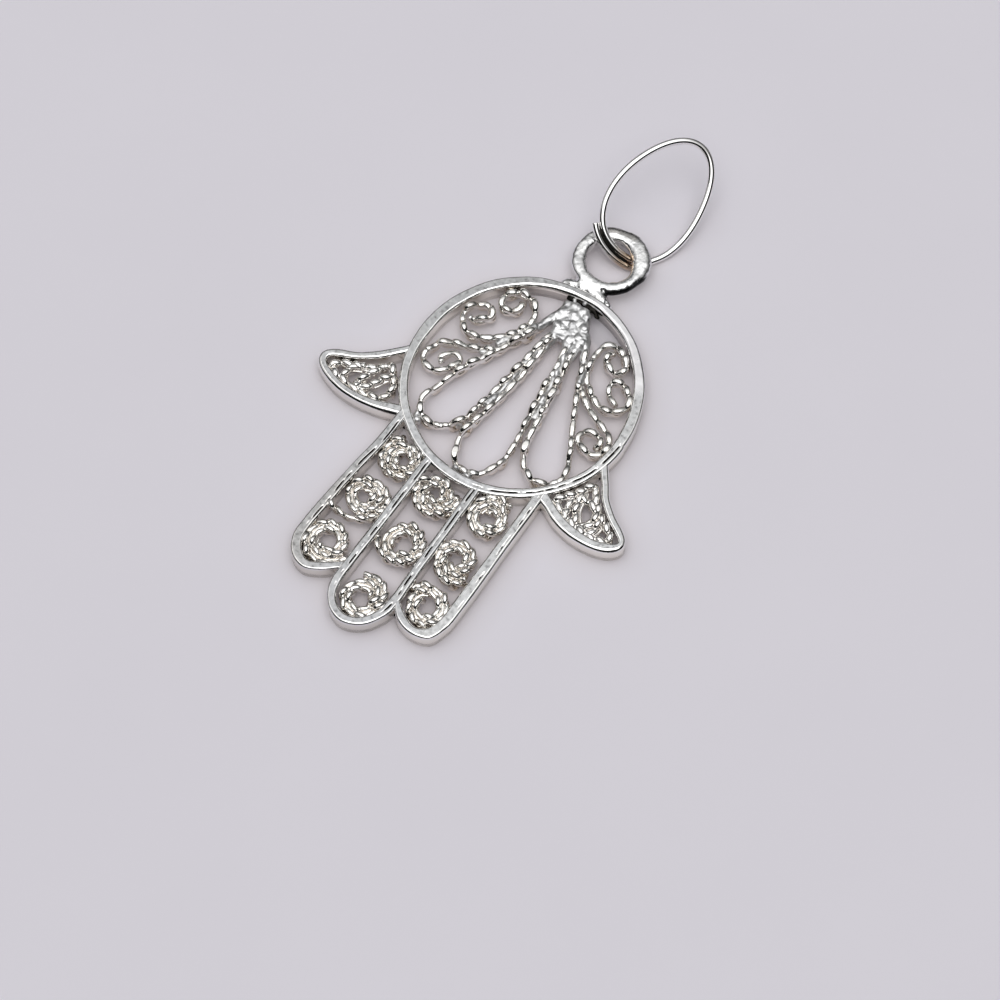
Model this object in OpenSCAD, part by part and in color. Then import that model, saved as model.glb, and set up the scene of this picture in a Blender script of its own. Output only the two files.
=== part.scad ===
// Hamsa pendant: a flat silver hand laid on its back, with open filigree in the palm,
// the fingers and the thumbs, a cast eye at the wrist and an oval jump ring through it.
// Frame of the part: the back lies in z = 0, +Z is the side that is seen, the eye is at +Y,
// the fingers point to -Y, and the palm ring is centred near the origin. Millimetres.

/* [Frame] */
// Height of the flat strip that the hand is bent from
frame_h = 1.45; // [1:0.05:2.5]
// Outer radius of the palm ring
palm_r_out = 8.85; // [7:0.05:11]
// Wall of the palm ring and of the two dividers
wall = 0.66; // [0.4:0.02:1.2]
// Centre of the palm ring, X
palm_x = 0.05; // [-0.5:0.01:0.5]
// Centre of the palm ring, Y
palm_y = 0.02; // [-0.5:0.01:0.5]

/* [Eye] */
// Radius of the eye ring to the middle of its wire
eye_r = 2.25; // [1.5:0.05:4]
// Radius of the eye wire
eye_wire_r = 0.46; // [0.3:0.01:0.6]
// Centre of the eye ring, X
eye_x = -0.38; // [-1:0.01:1]
// Centre of the eye ring, Y
eye_y = 12.084; // [10:0.01:15]
// Centre of the eye ring, Z
eye_z = 1.18; // [0.6:0.01:2]

/* [Filigree] */
// Width of the twisted wire as it lies in the palm
wire_w = 0.38; // [0.2:0.01:0.6]
// Underside of the filigree
wire_z0 = 0.35; // [0:0.05:1]
// Top of the filigree
wire_z1 = 1.33; // [0.8:0.01:1.45]
// Width of the wire in the coils
coil_w = 0.36; // [0.2:0.01:0.5]
// Distance from one turn of a coil to the next
coil_pitch = 0.42; // [0.3:0.01:0.8]

/* [Jump ring] */
// Radius of the jump ring's wire
jump_wire_r = 0.25; // [0.1:0.01:0.26]
// Half length of the oval to the middle of the wire
jump_a = 4.945; // [4.8:0.001:6]
// Half width of the oval to the middle of the wire
jump_b = 3.317; // [3:0.001:4]
// Centre of the oval, X
jump_x = -0.006; // [-0.2:0.001:0.2]
// Centre of the oval, Y
jump_y = 17.669; // [17.5:0.001:18]
// Centre of the oval, Z
jump_z = 2.463; // [2.46:0.001:3]
// Slope of the oval's plane along X
jump_slope_x = -0.5475; // [-0.6:0.0001:-0.5]
// Slope of the oval's plane along Y
jump_slope_y = 0.3641; // [0.3:0.0001:0.4]
// Turn of the oval in its own plane
jump_turn = 93.03; // [90:0.01:96]
// How much one end of the oval is broader than the other
jump_egg = 0.0431; // [0:0.0001:0.05]
// Angle at which the wire's outer end stops, beside the ring
jump_start = 139; // [130:1:180]
// Angle at which its inner end stops, more than a full turn on
jump_stop = 562; // [500:1:564]
// Distance between the two ends' lengths where they lie side by side
jump_lap = 0.55; // [0.53:0.01:0.7]

/* [Hidden] */
palm_r_in = palm_r_out - wall;
facets = 96;
steps = 3;               // pieces per step of a table
turn_steps = 20;         // pieces per turn of a coil
jump_n = 76;             // sections of the jump ring
jump_sides = 10;         // sides of its wire

silver = [0.83, 0.83, 0.84];
silver_wire = [0.78, 0.77, 0.76];

// ---- curves through the rows of a table, each row [x, y] ----
function cr(a, b, c, d, t) =
    0.5 * (2 * b + (c - a) * t + (2 * a - 5 * b + 4 * c - d) * t * t + (3 * b - a - 3 * c + d) * t * t * t);
function open_curve(P, n = steps) = let (m = len(P) - 1)
    concat([for (i = [0 : m - 1]) for (k = [0 : n - 1])
        cr(P[max(i - 1, 0)], P[i], P[i + 1], P[min(i + 2, m)], k / n)], [P[m]]);
function loop_curve(P, n = steps) = let (m = len(P))
    [for (i = [0 : m - 1]) for (k = [0 : n - 1])
        cr(P[(i + m - 1) % m], P[i], P[(i + 1) % m], P[(i + 2) % m], k / n)];
function way(C, i, loop) = let (m = len(C),
    a = loop ? C[(i + m - 1) % m] : C[max(i - 1, 0)],
    b = loop ? C[(i + 1) % m] : C[min(i + 1, m - 1)]) (b - a) / norm(b - a);
function beside(C, s, loop) =
    [for (i = [0 : len(C) - 1]) let (t = way(C, i, loop)) C[i] + s * [-t[1], t[0]]];
function back(C) = [for (i = [len(C) - 1 : -1 : 0]) C[i]];
function run(a, b) = [for (i = [a : b - 1]) i];
// Arc about the palm's centre, from one angle to another
function palm_arc(r, a0, a1, n = 8) =
    [for (k = [0 : n]) let (a = a0 + (a1 - a0) * k / n) [palm_x + r * cos(a), palm_y + r * sin(a)]];

// A wire of width w laid along an open curve, and the same around a closed one
module wire(C, w, z0 = wire_z0, z1 = wire_z1)
    translate([0, 0, z0]) linear_extrude(z1 - z0)
        polygon(concat(beside(C, w / 2, false), back(beside(C, -w / 2, false))));
module hoop(C, w, z0 = wire_z0, z1 = wire_z1)
    translate([0, 0, z0]) linear_extrude(z1 - z0)
        polygon(concat(beside(C, w / 2, true), beside(C, -w / 2, true)),
                paths = [run(0, len(C)), run(len(C), 2 * len(C))]);
// A plate with one outline and its cells cut out of it
module plate1(A, B) linear_extrude(frame_h)
    polygon(concat(A, B), paths = [run(0, len(A)), run(len(A), len(A) + len(B))]);

// ---- the hand's outline, each row [x, y] ----
// Outer edge, from the left side of the fingers round the three tips and up the right side
left_edge = [[-5.98, -6.3], [-6.02, -9.0], [-6.2, -11.0], [-6.35, -13.0], [-6.5, -15.0], [-6.59, -17.4],
    [-6.45, -18.8], [-5.7, -19.95], [-4.5, -20.38], [-3.3, -19.87], [-2.37, -19.06]];
middle_edge = [[-2.35, -19.3], [-2.05, -20.7], [-1.1, -21.8], [0.15, -22.15], [1.5, -21.5],
    [2.35, -20.2], [2.66, -19.33]];
right_edge = [[2.78, -19.33], [3.4, -19.9], [4.65, -20.17], [5.9, -19.72], [6.42, -18.4], [6.46, -17.0],
    [6.4, -14.0], [6.33, -11.0], [6.3, -8.0], [6.27, -6.2]];
// Inner edges of the three finger cells below the palm
left_cell = [[-5.42, -6.75], [-5.45, -9.0], [-5.65, -12.0], [-5.88, -15.0], [-5.95, -17.4], [-5.82, -18.7],
    [-5.1, -19.65], [-4.3, -19.78], [-3.3, -19.22], [-2.38, -18.5]];
middle_cell = [[-1.72, -19.2], [-1.6, -20.3], [-0.9, -21.3], [0.0, -21.57], [1.0, -21.3], [1.7, -20.3],
    [1.88, -19.2]];
right_cell = [[2.53, -18.55], [3.3, -19.1], [4.4, -19.6], [5.3, -19.2], [5.72, -18.0], [5.74, -16.0],
    [5.72, -12.0], [5.68, -8.0], [5.66, -6.6]];
// Thumbs: outer edge and the edge of the cell
left_thumb = [[-8.45, -1.8], [-9.22, -2.64], [-10.1, -3.54], [-11.2, -4.42], [-12.54, -5.03], [-13.25, -5.7],
    [-13.22, -6.45], [-12.48, -7.13], [-11.0, -7.66], [-9.33, -7.78], [-7.75, -7.56], [-6.22, -7.14],
    [-5.8, -6.98]];
left_thumb_cell = [[-8.2, -2.52], [-9.0, -3.35], [-10.0, -4.33], [-11.2, -5.06], [-12.35, -5.68],
    [-12.66, -6.08], [-12.3, -6.62], [-11.4, -7.05], [-9.9, -7.24], [-8.3, -7.06], [-6.95, -6.62],
    [-6.05, -6.12]];
right_thumb = [[6.0, -6.8], [6.75, -7.08], [7.9, -7.64], [9.5, -7.98], [11.1, -7.9], [12.3, -7.52],
    [13.02, -6.8], [12.95, -6.02], [12.3, -5.4], [11.3, -4.8], [10.27, -3.92], [9.6, -2.98], [8.6, -1.66]];
right_thumb_cell = [[6.2, -5.95], [7.2, -6.6], [8.7, -7.16], [10.3, -7.36], [11.6, -7.16], [12.4, -6.78],
    [12.52, -6.3], [11.9, -5.8], [10.9, -5.2], [10.1, -4.58], [9.4, -3.66], [8.35, -2.3]];
// Solder between the palm ring and the eye
solder_pad = [[-2.35, 8.28], [-1.75, 8.95], [-1.5, 9.5], [-1.3, 9.85], [0.55, 9.85], [0.85, 9.45],
    [1.2, 8.95], [1.85, 8.38], [-0.2, 8.5]];

// ---- the filigree, each row [x, y] of the middle of the wire ----
petal_left = [[-1.1, 6.3], [-1.7, 4.9], [-2.4, 3.0], [-3.4, 0.7], [-4.4, -1.45], [-5.1, -3.6], [-5.3, -4.7],
    [-4.9, -5.6], [-4.1, -6.08], [-3.2, -5.9], [-2.4, -5.3], [-1.9, -4.4], [-1.6, -3.0], [-1.25, -0.9],
    [-0.95, 1.4], [-0.7, 3.9], [-0.6, 5.2]];
petal_middle = [[-0.25, 5.6], [-0.45, 2.5], [-0.65, -0.75], [-1.0, -3.25], [-1.3, -5.4], [-1.05, -6.7],
    [-0.45, -7.48], [0.5, -7.72], [1.4, -7.42], [2.1, -6.3], [2.32, -4.9], [2.1, -2.9], [1.65, -0.6],
    [1.35, 1.5], [1.0, 3.6], [0.75, 5.5]];
petal_right = [[1.4, 5.9], [1.55, 4.1], [2.0, 2.0], [2.4, -0.5], [2.8, -3.1], [3.3, -4.5], [4.1, -5.45],
    [4.9, -5.7], [5.8, -5.3], [6.42, -4.4], [6.28, -3.3], [5.6, -2.0], [4.7, -0.4], [3.9, 1.3], [3.1, 3.1],
    [2.3, 4.8], [1.8, 5.7]];
scroll_left = [[-3.75, 5.7], [-3.7, 5.2], [-4.05, 4.65], [-4.7, 4.5], [-5.1, 5.0], [-5.05, 5.7], [-4.5, 6.2],
    [-3.6, 6.3], [-2.85, 6.0], [-2.5, 5.2], [-2.6, 4.3], [-2.95, 3.3], [-3.5, 2.6], [-4.2, 1.9],
    [-5.0, 1.52], [-5.8, 1.5], [-6.5, 2.0], [-6.85, 2.75], [-6.6, 3.5], [-6.0, 4.1], [-5.4, 4.05],
    [-5.05, 3.6], [-5.35, 3.05], [-5.9, 2.65]];
scroll_left_low = [[-3.3, 1.3], [-4.0, 0.95], [-4.8, 0.58], [-5.8, 0.26], [-6.5, -0.05], [-7.1, -0.7],
    [-7.3, -1.5], [-7.05, -2.15], [-6.4, -2.42], [-5.6, -2.2], [-5.05, -1.55], [-4.8, -0.85], [-5.1, -0.45],
    [-5.6, -0.5], [-6.0, -0.95], [-6.15, -1.35]];
scroll_right = [[3.9, 6.0], [3.75, 5.6], [3.95, 5.1], [4.5, 4.75], [5.05, 4.75], [5.35, 5.15], [5.25, 5.65],
    [4.8, 6.1], [4.2, 6.5], [3.55, 6.45], [3.1, 6.05], [2.95, 5.3], [3.1, 4.6], [3.35, 3.8], [3.6, 3.2],
    [4.1, 2.7], [4.7, 2.2], [5.4, 1.85], [6.2, 1.85], [6.85, 2.3], [7.15, 2.95], [6.95, 3.55], [6.4, 4.05],
    [5.75, 4.25], [5.25, 3.95], [5.3, 3.45], [5.75, 2.9], [6.35, 2.65]];
scroll_right_low = [[3.6, 2.35], [4.5, 1.6], [5.5, 1.05], [6.5, 0.7], [7.3, 0.3], [7.75, -0.3], [7.75, -1.0],
    [7.35, -1.5], [6.75, -1.7], [6.1, -1.5], [5.65, -1.05], [5.8, -0.5], [6.3, -0.2], [6.85, -0.25],
    [7.15, -0.65], [7.0, -1.0]];
// Solder lumps where the petals meet under the eye, each row [x, y, radius]
lumps = [[-0.95, 7.35, 0.52], [-0.2, 7.5, 0.6], [0.6, 7.4, 0.55], [-0.9, 6.5, 0.55], [-0.1, 6.55, 0.62],
    [0.75, 6.6, 0.6], [1.4, 6.25, 0.5], [-0.75, 5.7, 0.52], [0.1, 5.7, 0.57], [0.95, 5.7, 0.55],
    [0.3, 4.95, 0.47]];
// Spots of solder that tie the scrolls to the petals, each row [x, y, radius]
spots = [[-2.28, 4.1, 0.36], [-2.72, 3.2, 0.33], [3.05, 3.95, 0.33], [3.3, 3.2, 0.3], [-4.45, -6.25, 0.28]];
// Thumb filigree: one loop round the cell and wires across it
thumb_loop_left = [[-8.72, -3.98], [-9.45, -4.62], [-10.25, -5.12], [-11.05, -5.42], [-11.75, -5.76], [-12.1, -6.18],
    [-11.78, -6.56], [-10.9, -6.74], [-9.95, -6.82], [-9.0, -6.82], [-8.2, -6.68], [-7.62, -6.28], [-7.44, -5.68],
    [-7.6, -5.0], [-8.0, -4.5], [-8.3, -4.1]];
thumb_ties_left = [[[-8.0, -4.5], [-8.5, -5.25], [-8.8, -5.9], [-9.2, -6.4], [-9.6, -6.8]],
    [[-8.95, -4.25], [-9.4, -5.1], [-9.62, -5.9], [-9.75, -6.75]],
    [[-10.1, -5.05], [-10.7, -5.45], [-10.95, -5.95], [-10.95, -6.65]]];
thumb_loop_right = [[8.75, -3.5], [9.3, -4.28], [9.88, -4.88], [10.55, -5.38], [11.15, -5.78], [11.65, -6.1],
    [11.9, -6.45], [11.65, -6.82], [11.05, -6.98], [10.3, -7.03], [9.6, -6.99], [8.9, -6.83], [8.2, -6.57],
    [7.55, -6.33], [7.15, -6.05], [7.45, -5.5], [7.9, -4.9], [8.3, -4.3]];
thumb_ties_right = [[[8.3, -4.35], [8.5, -5.2], [8.65, -5.8], [9.0, -6.35], [9.55, -6.95]],
    [[8.5, -4.85], [9.4, -4.95], [10.0, -5.3], [10.25, -5.9], [10.05, -6.5], [9.6, -6.95]],
    [[7.95, -4.95], [8.05, -5.7], [8.25, -6.55]],
    [[10.4, -5.4], [10.65, -6.2], [10.45, -7.0]]];
// Coils: [name, x, y, outer radius, turns, angle of the outer end, +1 or -1 for the way it winds,
//         points [x, y] of a free length before the outer end]
coils = [
    ["coil_left_upper", -3.74, -9.62, 1.34, 2.4, 165, 1, [[-4.72, -8.34], [-4.86, -8.75]]],
    ["coil_left_middle", -3.92, -13.52, 1.48, 2.2, 340, 1,
        [[-5.55, -15.2], [-5.1, -15.3], [-4.6, -15.34], [-4.0, -15.26], [-3.35, -15.0], [-2.92, -14.6]]],
    ["coil_left_tip", -4.14, -17.72, 1.68, 2.8, 350, -1, []],
    ["coil_middle_upper", 0.06, -10.62, 1.60, 2.6, 30, -1, []],
    ["coil_middle_centre", 0.27, -14.92, 1.38, 1.7, 345, 1,
        [[-1.46, -15.42], [-1.22, -15.85], [-0.8, -16.2], [-0.2, -16.4], [0.45, -16.34], [1.0, -16.05], [1.34, -15.65]]],
    ["coil_middle_tip", 0.15, -19.72, 1.60, 2.7, 120, -1, []],
    ["coil_right_upper", 4.05, -9.80, 1.57, 2.5, 60, 1, []],
    ["coil_right_middle", 4.17, -13.95, 1.57, 2.4, 330, -1, []],
    ["coil_right_tip", 4.18, -17.76, 1.52, 2.5, 160, -1, []]];
// Each turn keeps its radius for most of the way and then steps in by one pitch
function coil_step(k) = let (f = k - floor(k), u = max(0, f - 0.65) / 0.35)
    floor(k) + u * u * (3 - 2 * u);
function coil_curve(c) = let (n = round(c[4] * turn_steps))
    concat(c[7], [for (i = [0 : n]) let (a = c[5] + c[6] * 360 * i / turn_steps,
        r = c[3] - coil_w / 2 - coil_pitch * coil_step(i / turn_steps)) [c[1] + r * cos(a), c[2] + r * sin(a)]]);
module coil(name) for (c = coils) if (c[0] == name) wire(coil_curve(c), coil_w);

// ---- the jump ring: an oval in a leaning plane ----
function unit(v) = v / norm(v);
jump_n3 = unit([-jump_slope_x, -jump_slope_y, 1]);
jump_u0 = unit([1, 0, jump_slope_x]);
jump_w0 = cross(jump_n3, jump_u0);
jump_u = cos(jump_turn) * jump_u0 + sin(jump_turn) * jump_w0;
jump_w = -sin(jump_turn) * jump_u0 + cos(jump_turn) * jump_w0;
function jump_at(t) = let (k = 1 + jump_egg * cos(3 * t) - 0.0082 * sin(3 * t) - 0.0061 * cos(4 * t))
    [jump_x, jump_y, jump_z] + k * (jump_a * cos(t) * jump_u + jump_b * sin(t) * jump_w);
function jump_out(t) = unit(cross(unit(jump_at(t + 0.5) - jump_at(t - 0.5)), jump_n3));
// The outer end runs beside the ring and then crosses over into its line
function jump_lane(t) = let (u = min(max((t - 200) / 28, 0), 1)) jump_lap * (1 - u * u * (3 - 2 * u));
function jump_way(t) = jump_at(t) + jump_lane(t) * jump_out(t);
function jump_side(t) = unit(cross(unit(jump_way(t + 0.5) - jump_way(t - 0.5)), jump_n3));

module frame() color(silver) union() {
    translate([palm_x, palm_y, 0]) difference() {
        cylinder(h = frame_h, r = palm_r_out, $fn = facets);
        translate([0, 0, -1]) cylinder(h = frame_h + 2, r = palm_r_in, $fn = facets);
    }
    outline = concat(open_curve(left_edge), open_curve(middle_edge), open_curve(right_edge),
        palm_arc(palm_r_out - wall * 0.5, -45.5, -133.2, 16));
    a = concat(open_curve(left_cell), palm_arc(palm_r_out - wall * 0.3, -106.35, -128.2));
    b = concat([[-1.72, -8.42]], open_curve(middle_cell), palm_arc(palm_r_out - wall * 0.3, -78.9, -101.3));
    c = concat([[2.34, -8.35]], open_curve(right_cell), palm_arc(palm_r_out - wall * 0.3, -49.6, -74.1));
    n1 = len(outline); n2 = n1 + len(a); n3 = n2 + len(b); n4 = n3 + len(c);
    linear_extrude(frame_h) polygon(concat(outline, a, b, c), paths = [run(0, n1), run(n1, n2), run(n2, n3), run(n3, n4)]);
    plate1(concat(open_curve(left_thumb), palm_arc(palm_r_out - wall * 0.5, -137, -168)),
           concat(open_curve(left_thumb_cell), palm_arc(palm_r_out - wall * 0.35, -136, -162)));
    plate1(concat(open_curve(right_thumb), palm_arc(palm_r_out - wall * 0.5, -11.4, -44)),
           concat(open_curve(right_thumb_cell), palm_arc(palm_r_out - wall * 0.35, -17, -43)));
    translate([eye_x, eye_y, eye_z]) rotate_extrude($fn = facets)
        translate([eye_r, 0]) circle(r = eye_wire_r, $fn = 32);
    translate([0, 0, 0.2]) linear_extrude(frame_h - 0.3) polygon(solder_pad);
}
module petal_fan() color(silver_wire) union() {
    wire(open_curve(petal_left), wire_w);
    wire(open_curve(petal_middle), wire_w);
    wire(open_curve(petal_right), wire_w);
    wire(open_curve(scroll_left), wire_w);
    wire(open_curve(scroll_left_low), wire_w);
    wire(open_curve(scroll_right), wire_w);
    wire(open_curve(scroll_right_low), wire_w);
    for (l = lumps) translate([l[0], l[1], wire_z0 - 0.04]) {
        cylinder(h = 0.82, r = l[2], $fn = 24);
        translate([0, 0, 0.8]) cylinder(h = 0.55 * l[2], r1 = l[2], r2 = l[2] * 0.55, $fn = 24);
    }
    for (s = spots) translate([s[0], s[1], 0.42]) cylinder(h = 0.85, r = s[2], $fn = 20);
}
module coil_left_upper() color(silver_wire) coil("coil_left_upper");
module coil_left_middle() color(silver_wire) coil("coil_left_middle");
module coil_left_tip() color(silver_wire) coil("coil_left_tip");
module coil_middle_upper() color(silver_wire) coil("coil_middle_upper");
module coil_middle_centre() color(silver_wire) coil("coil_middle_centre");
module coil_middle_tip() color(silver_wire) coil("coil_middle_tip");
module coil_right_upper() color(silver_wire) coil("coil_right_upper");
module coil_right_middle() color(silver_wire) coil("coil_right_middle");
module coil_right_tip() color(silver_wire) coil("coil_right_tip");
module thumb_scroll_left() color(silver_wire) union() {
    hoop(loop_curve(thumb_loop_left), wire_w);
    for (t = thumb_ties_left) wire(open_curve(t), wire_w * 0.9, wire_z0 + 0.03, wire_z1 - 0.03);
}
module thumb_scroll_right() color(silver_wire) union() {
    hoop(loop_curve(thumb_loop_right), wire_w);
    for (t = thumb_ties_right) wire(open_curve(t), wire_w * 0.9, wire_z0 + 0.03, wire_z1 - 0.03);
}
module jump_ring() color(silver) {
    ts = [for (i = [0 : jump_n]) jump_start + (jump_stop - jump_start) * i / jump_n];
    pts = [for (t = ts) let (q = jump_way(t), o = jump_side(t)) for (j = [0 : jump_sides - 1])
        let (a = 360 * j / jump_sides) q + jump_wire_r * (cos(a) * o + sin(a) * jump_n3)];
    m = jump_sides;
    sides = [for (i = [0 : jump_n - 1]) for (j = [0 : m - 1]) let (p = i * m + j, q = i * m + (j + 1) % m)
        each [[p, q, q + m], [p, q + m, p + m]]];
    ends = [[for (j = [m - 1 : -1 : 0]) j], [for (j = [0 : m - 1]) jump_n * m + j]];
    polyhedron(concat(pts), concat(sides, ends));
}

frame();
petal_fan();
coil_left_upper();
coil_left_middle();
coil_left_tip();
coil_middle_upper();
coil_middle_centre();
coil_middle_tip();
coil_right_upper();
coil_right_middle();
coil_right_tip();
thumb_scroll_left();
thumb_scroll_right();
jump_ring();
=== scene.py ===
# Looks of a silver filigree hand pendant that lies on its back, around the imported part.
import bpy, bmesh, math, random
import numpy as np
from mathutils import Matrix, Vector, noise


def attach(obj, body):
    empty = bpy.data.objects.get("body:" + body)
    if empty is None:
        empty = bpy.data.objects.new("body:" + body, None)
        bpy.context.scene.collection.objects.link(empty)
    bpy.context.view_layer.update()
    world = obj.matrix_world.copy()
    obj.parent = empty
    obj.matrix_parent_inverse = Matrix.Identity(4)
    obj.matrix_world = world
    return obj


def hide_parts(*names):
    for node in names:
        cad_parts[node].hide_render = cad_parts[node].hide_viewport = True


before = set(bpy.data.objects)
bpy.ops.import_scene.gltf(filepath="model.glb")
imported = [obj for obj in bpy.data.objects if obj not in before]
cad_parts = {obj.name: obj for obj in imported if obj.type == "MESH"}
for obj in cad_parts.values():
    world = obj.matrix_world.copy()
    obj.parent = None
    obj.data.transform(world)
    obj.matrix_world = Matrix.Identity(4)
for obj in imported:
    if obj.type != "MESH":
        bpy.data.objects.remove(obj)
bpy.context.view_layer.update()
MM = 0.001
rng = np.random.default_rng(7)
scene = bpy.context.scene


# ---------------------------------------------------------------- curves, in millimetres
def cr(P, n=8, closed=False):
    """Points on a smooth curve through the rows of a table."""
    P = np.asarray(P, float)
    m = len(P)
    out = []
    for i in range(m if closed else m - 1):
        g = (lambda k: P[k % m]) if closed else (lambda k: P[min(max(k, 0), m - 1)])
        a, b, c, d = g(i - 1), g(i), g(i + 1), g(i + 2)
        for k in range(n):
            t = k / n
            out.append(0.5 * (2 * b + (c - a) * t + (2 * a - 5 * b + 4 * c - d) * t * t
                              + (3 * b - a - 3 * c + d) * t ** 3))
    if not closed:
        out.append(P[-1])
    return np.array(out)


def resample(C, n=None, step=None, closed=False):
    """The same curve with even steps; n points, or one point each step."""
    C = np.asarray(C, float)
    if closed:
        C = np.vstack([C, C[:1]])
    d = np.concatenate([[0], np.cumsum(np.linalg.norm(np.diff(C, axis=0), axis=1))])
    if n is None:
        n = max(4, int(round(d[-1] / step)) + (0 if closed else 1))
    s = np.linspace(0, d[-1], n, endpoint=not closed)
    return np.stack([np.interp(s, d, C[:, k]) for k in range(C.shape[1])], 1), s, d[-1]


def tangents(C, closed):
    if closed:
        T = np.roll(C, -1, 0) - np.roll(C, 1, 0)
    else:
        T = np.gradient(C, axis=0)
    return T / np.maximum(np.linalg.norm(T, axis=1, keepdims=True), 1e-9)


def wob(s, seed, scale=1.0):
    """A slow smooth wander along a length, between about -1 and 1."""
    r = np.random.default_rng(seed)
    k = np.zeros_like(s)
    for f, a in ((0.35, 0.6), (0.9, 0.35), (2.1, 0.2)):
        k += a * np.sin(s * f / scale + r.uniform(0, 6.28))
    return k


# ---------------------------------------------------------------- mesh makers
def make(name, V, F, mat, nodes=(), smooth=True, second=None, where=None):
    me = bpy.data.meshes.new(name)
    me.from_pydata([tuple(v) for v in np.asarray(V) * MM], [], [tuple(int(i) for i in f) for f in F])
    bm = bmesh.new()
    bm.from_mesh(me)
    bmesh.ops.recalc_face_normals(bm, faces=bm.faces)
    bm.to_mesh(me)
    bm.free()
    if smooth:
        me.polygons.foreach_set("use_smooth", [True] * len(me.polygons))
    me.materials.append(mat)
    if second:
        me.materials.append(second)
        me.polygons.foreach_set("material_index", [int(k) for k in where])
    me.update()
    o = bpy.data.objects.new(name, me)
    scene.collection.objects.link(o)
    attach(o, "root")
    if nodes:
        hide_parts(*nodes)
    return o


def grid_faces(n, m, closed_n, closed_m, base=0):
    F = []
    for i in range(n if closed_n else n - 1):
        for j in range(m if closed_m else m - 1):
            a = i * m + j
            b = i * m + (j + 1) % m
            c = ((i + 1) % n) * m + (j + 1) % m
            d = ((i + 1) % n) * m + j
            F.append((base + a, base + b, base + c, base + d))
    return F


FRAME_H = 1.45


CORNER = np.radians([90, 80, 70, 61, 53, 46, 39, 32, 25, 17, 9, 3])


def strip(inner, outer, closed, seed, top=FRAME_H, groove=None, gdeep=0.10, rin=0.19, rout=0.19, tilt=0.0, cut=0.0):
    """A flat strip stood on edge between two outlines. Its top is flat and turns over in round corners of radius
    rin and rout, and falls outwards by tilt. cut is how far the outer corner is a flat facet. groove(s) gives a seam's distance from the outer outline, how deep it
    is there and how steady, for the length s run along the strip.
    Returns the vertices, the faces, and which faces lie in the dark of the seam."""
    I, O = np.asarray(inner, float), np.asarray(outer, float)
    n = len(I)
    W = np.linalg.norm(O - I, axis=1)
    D = (O - I) / W[:, None]
    s = np.concatenate([[0], np.cumsum(np.linalg.norm(np.diff((I + O) / 2, axis=0), axis=1))])
    if closed:
        ph = 2 * np.pi * np.arange(n) / n
        lift = 0.012 * np.sin(3 * ph + seed) + 0.008 * np.sin(8 * ph + 2 * seed)
        push = 0.014 * np.sin(5 * ph + seed * 2) + 0.008 * np.sin(13 * ph + seed)
        vary = 1 + 0.10 * np.sin(7 * ph + seed) + 0.08 * np.sin(17 * ph + 2 * seed)
    else:
        lift = 0.012 * wob(s, seed)
        push = 0.012 * wob(s, seed + 50, 0.8)
        vary = 1 + 0.14 * wob(s, seed + 70, 0.7)
    ri = np.minimum(rin * vary, 0.55 * W)
    ro = np.minimum(rout * vary[::-1], 0.40 * W)
    zero = np.zeros(n)
    cols = [(zero, zero, False), (zero, (top - ri) * 0.5, False)]
    cols += [(ri - ri * math.sin(a), top - ri + ri * math.cos(a), True) for a in CORNER]
    cols += [(ri + (W - ri - ro) * f, np.full(n, top), True) for f in np.linspace(0, 1, 13)]
    cols += [(W - ro + ro * ((1 - cut) * math.sin(a) + cut * a * 2 / math.pi),
              top - ro + ro * ((1 - cut) * math.cos(a) + cut * (1 - a * 2 / math.pi)), True) for a in CORNER[::-1]]
    cols += [(W, (top - ro) * 0.5, False), (W, zero, False)]
    if groove:
        g, gd, steady = groove(s)
        g = g + 0.02 * np.sin(s * 1.7 + seed)
        gd = gd * np.clip(steady + 0.75 * np.sin(s * 2.3 + seed) + 0.65 * np.sin(s * 5.1 + 2 * seed), 0.0, 1)
    m = len(cols)
    V = np.zeros((n, m, 3))
    soot = np.zeros((n, m))
    for j, (d, z, upper) in enumerate(cols):
        P = I + D * (d + push)[:, None]
        V[:, j, :2] = P
        z = z.copy()
        if upper:
            Q = np.column_stack([P, np.full(n, 1.0 * seed)])
            z += 0.007 * vnoise(Q, 1.9, 30) + 0.0035 * vnoise(Q, 6.0, 31) - tilt * (d - W / 2)
            if groove:
                v = np.clip(1 - np.abs(W - d - g) / 0.068, 0, 1)
                z = z - gdeep * gd * v
                soot[:, j] = gd * v
        V[:, j, 2] = z + lift * (z / top)
    F = grid_faces(n, m, closed, True)
    so = soot.reshape(-1)
    dark = [float(np.mean([so[i] for i in f])) > 0.28 for f in F]
    if not closed:
        F.append(tuple(range(m)))
        F.append(tuple((n - 1) * m + j for j in reversed(range(m))))
        dark += [False, False]
    return V.reshape(-1, 3), F, dark


def join_parts(parts):
    V, F, base = [], [], 0
    for v, f in parts:
        V.append(v)
        F += [tuple(i + base for i in face) for face in f]
        base += len(v)
    return np.vstack(V), F


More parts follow.
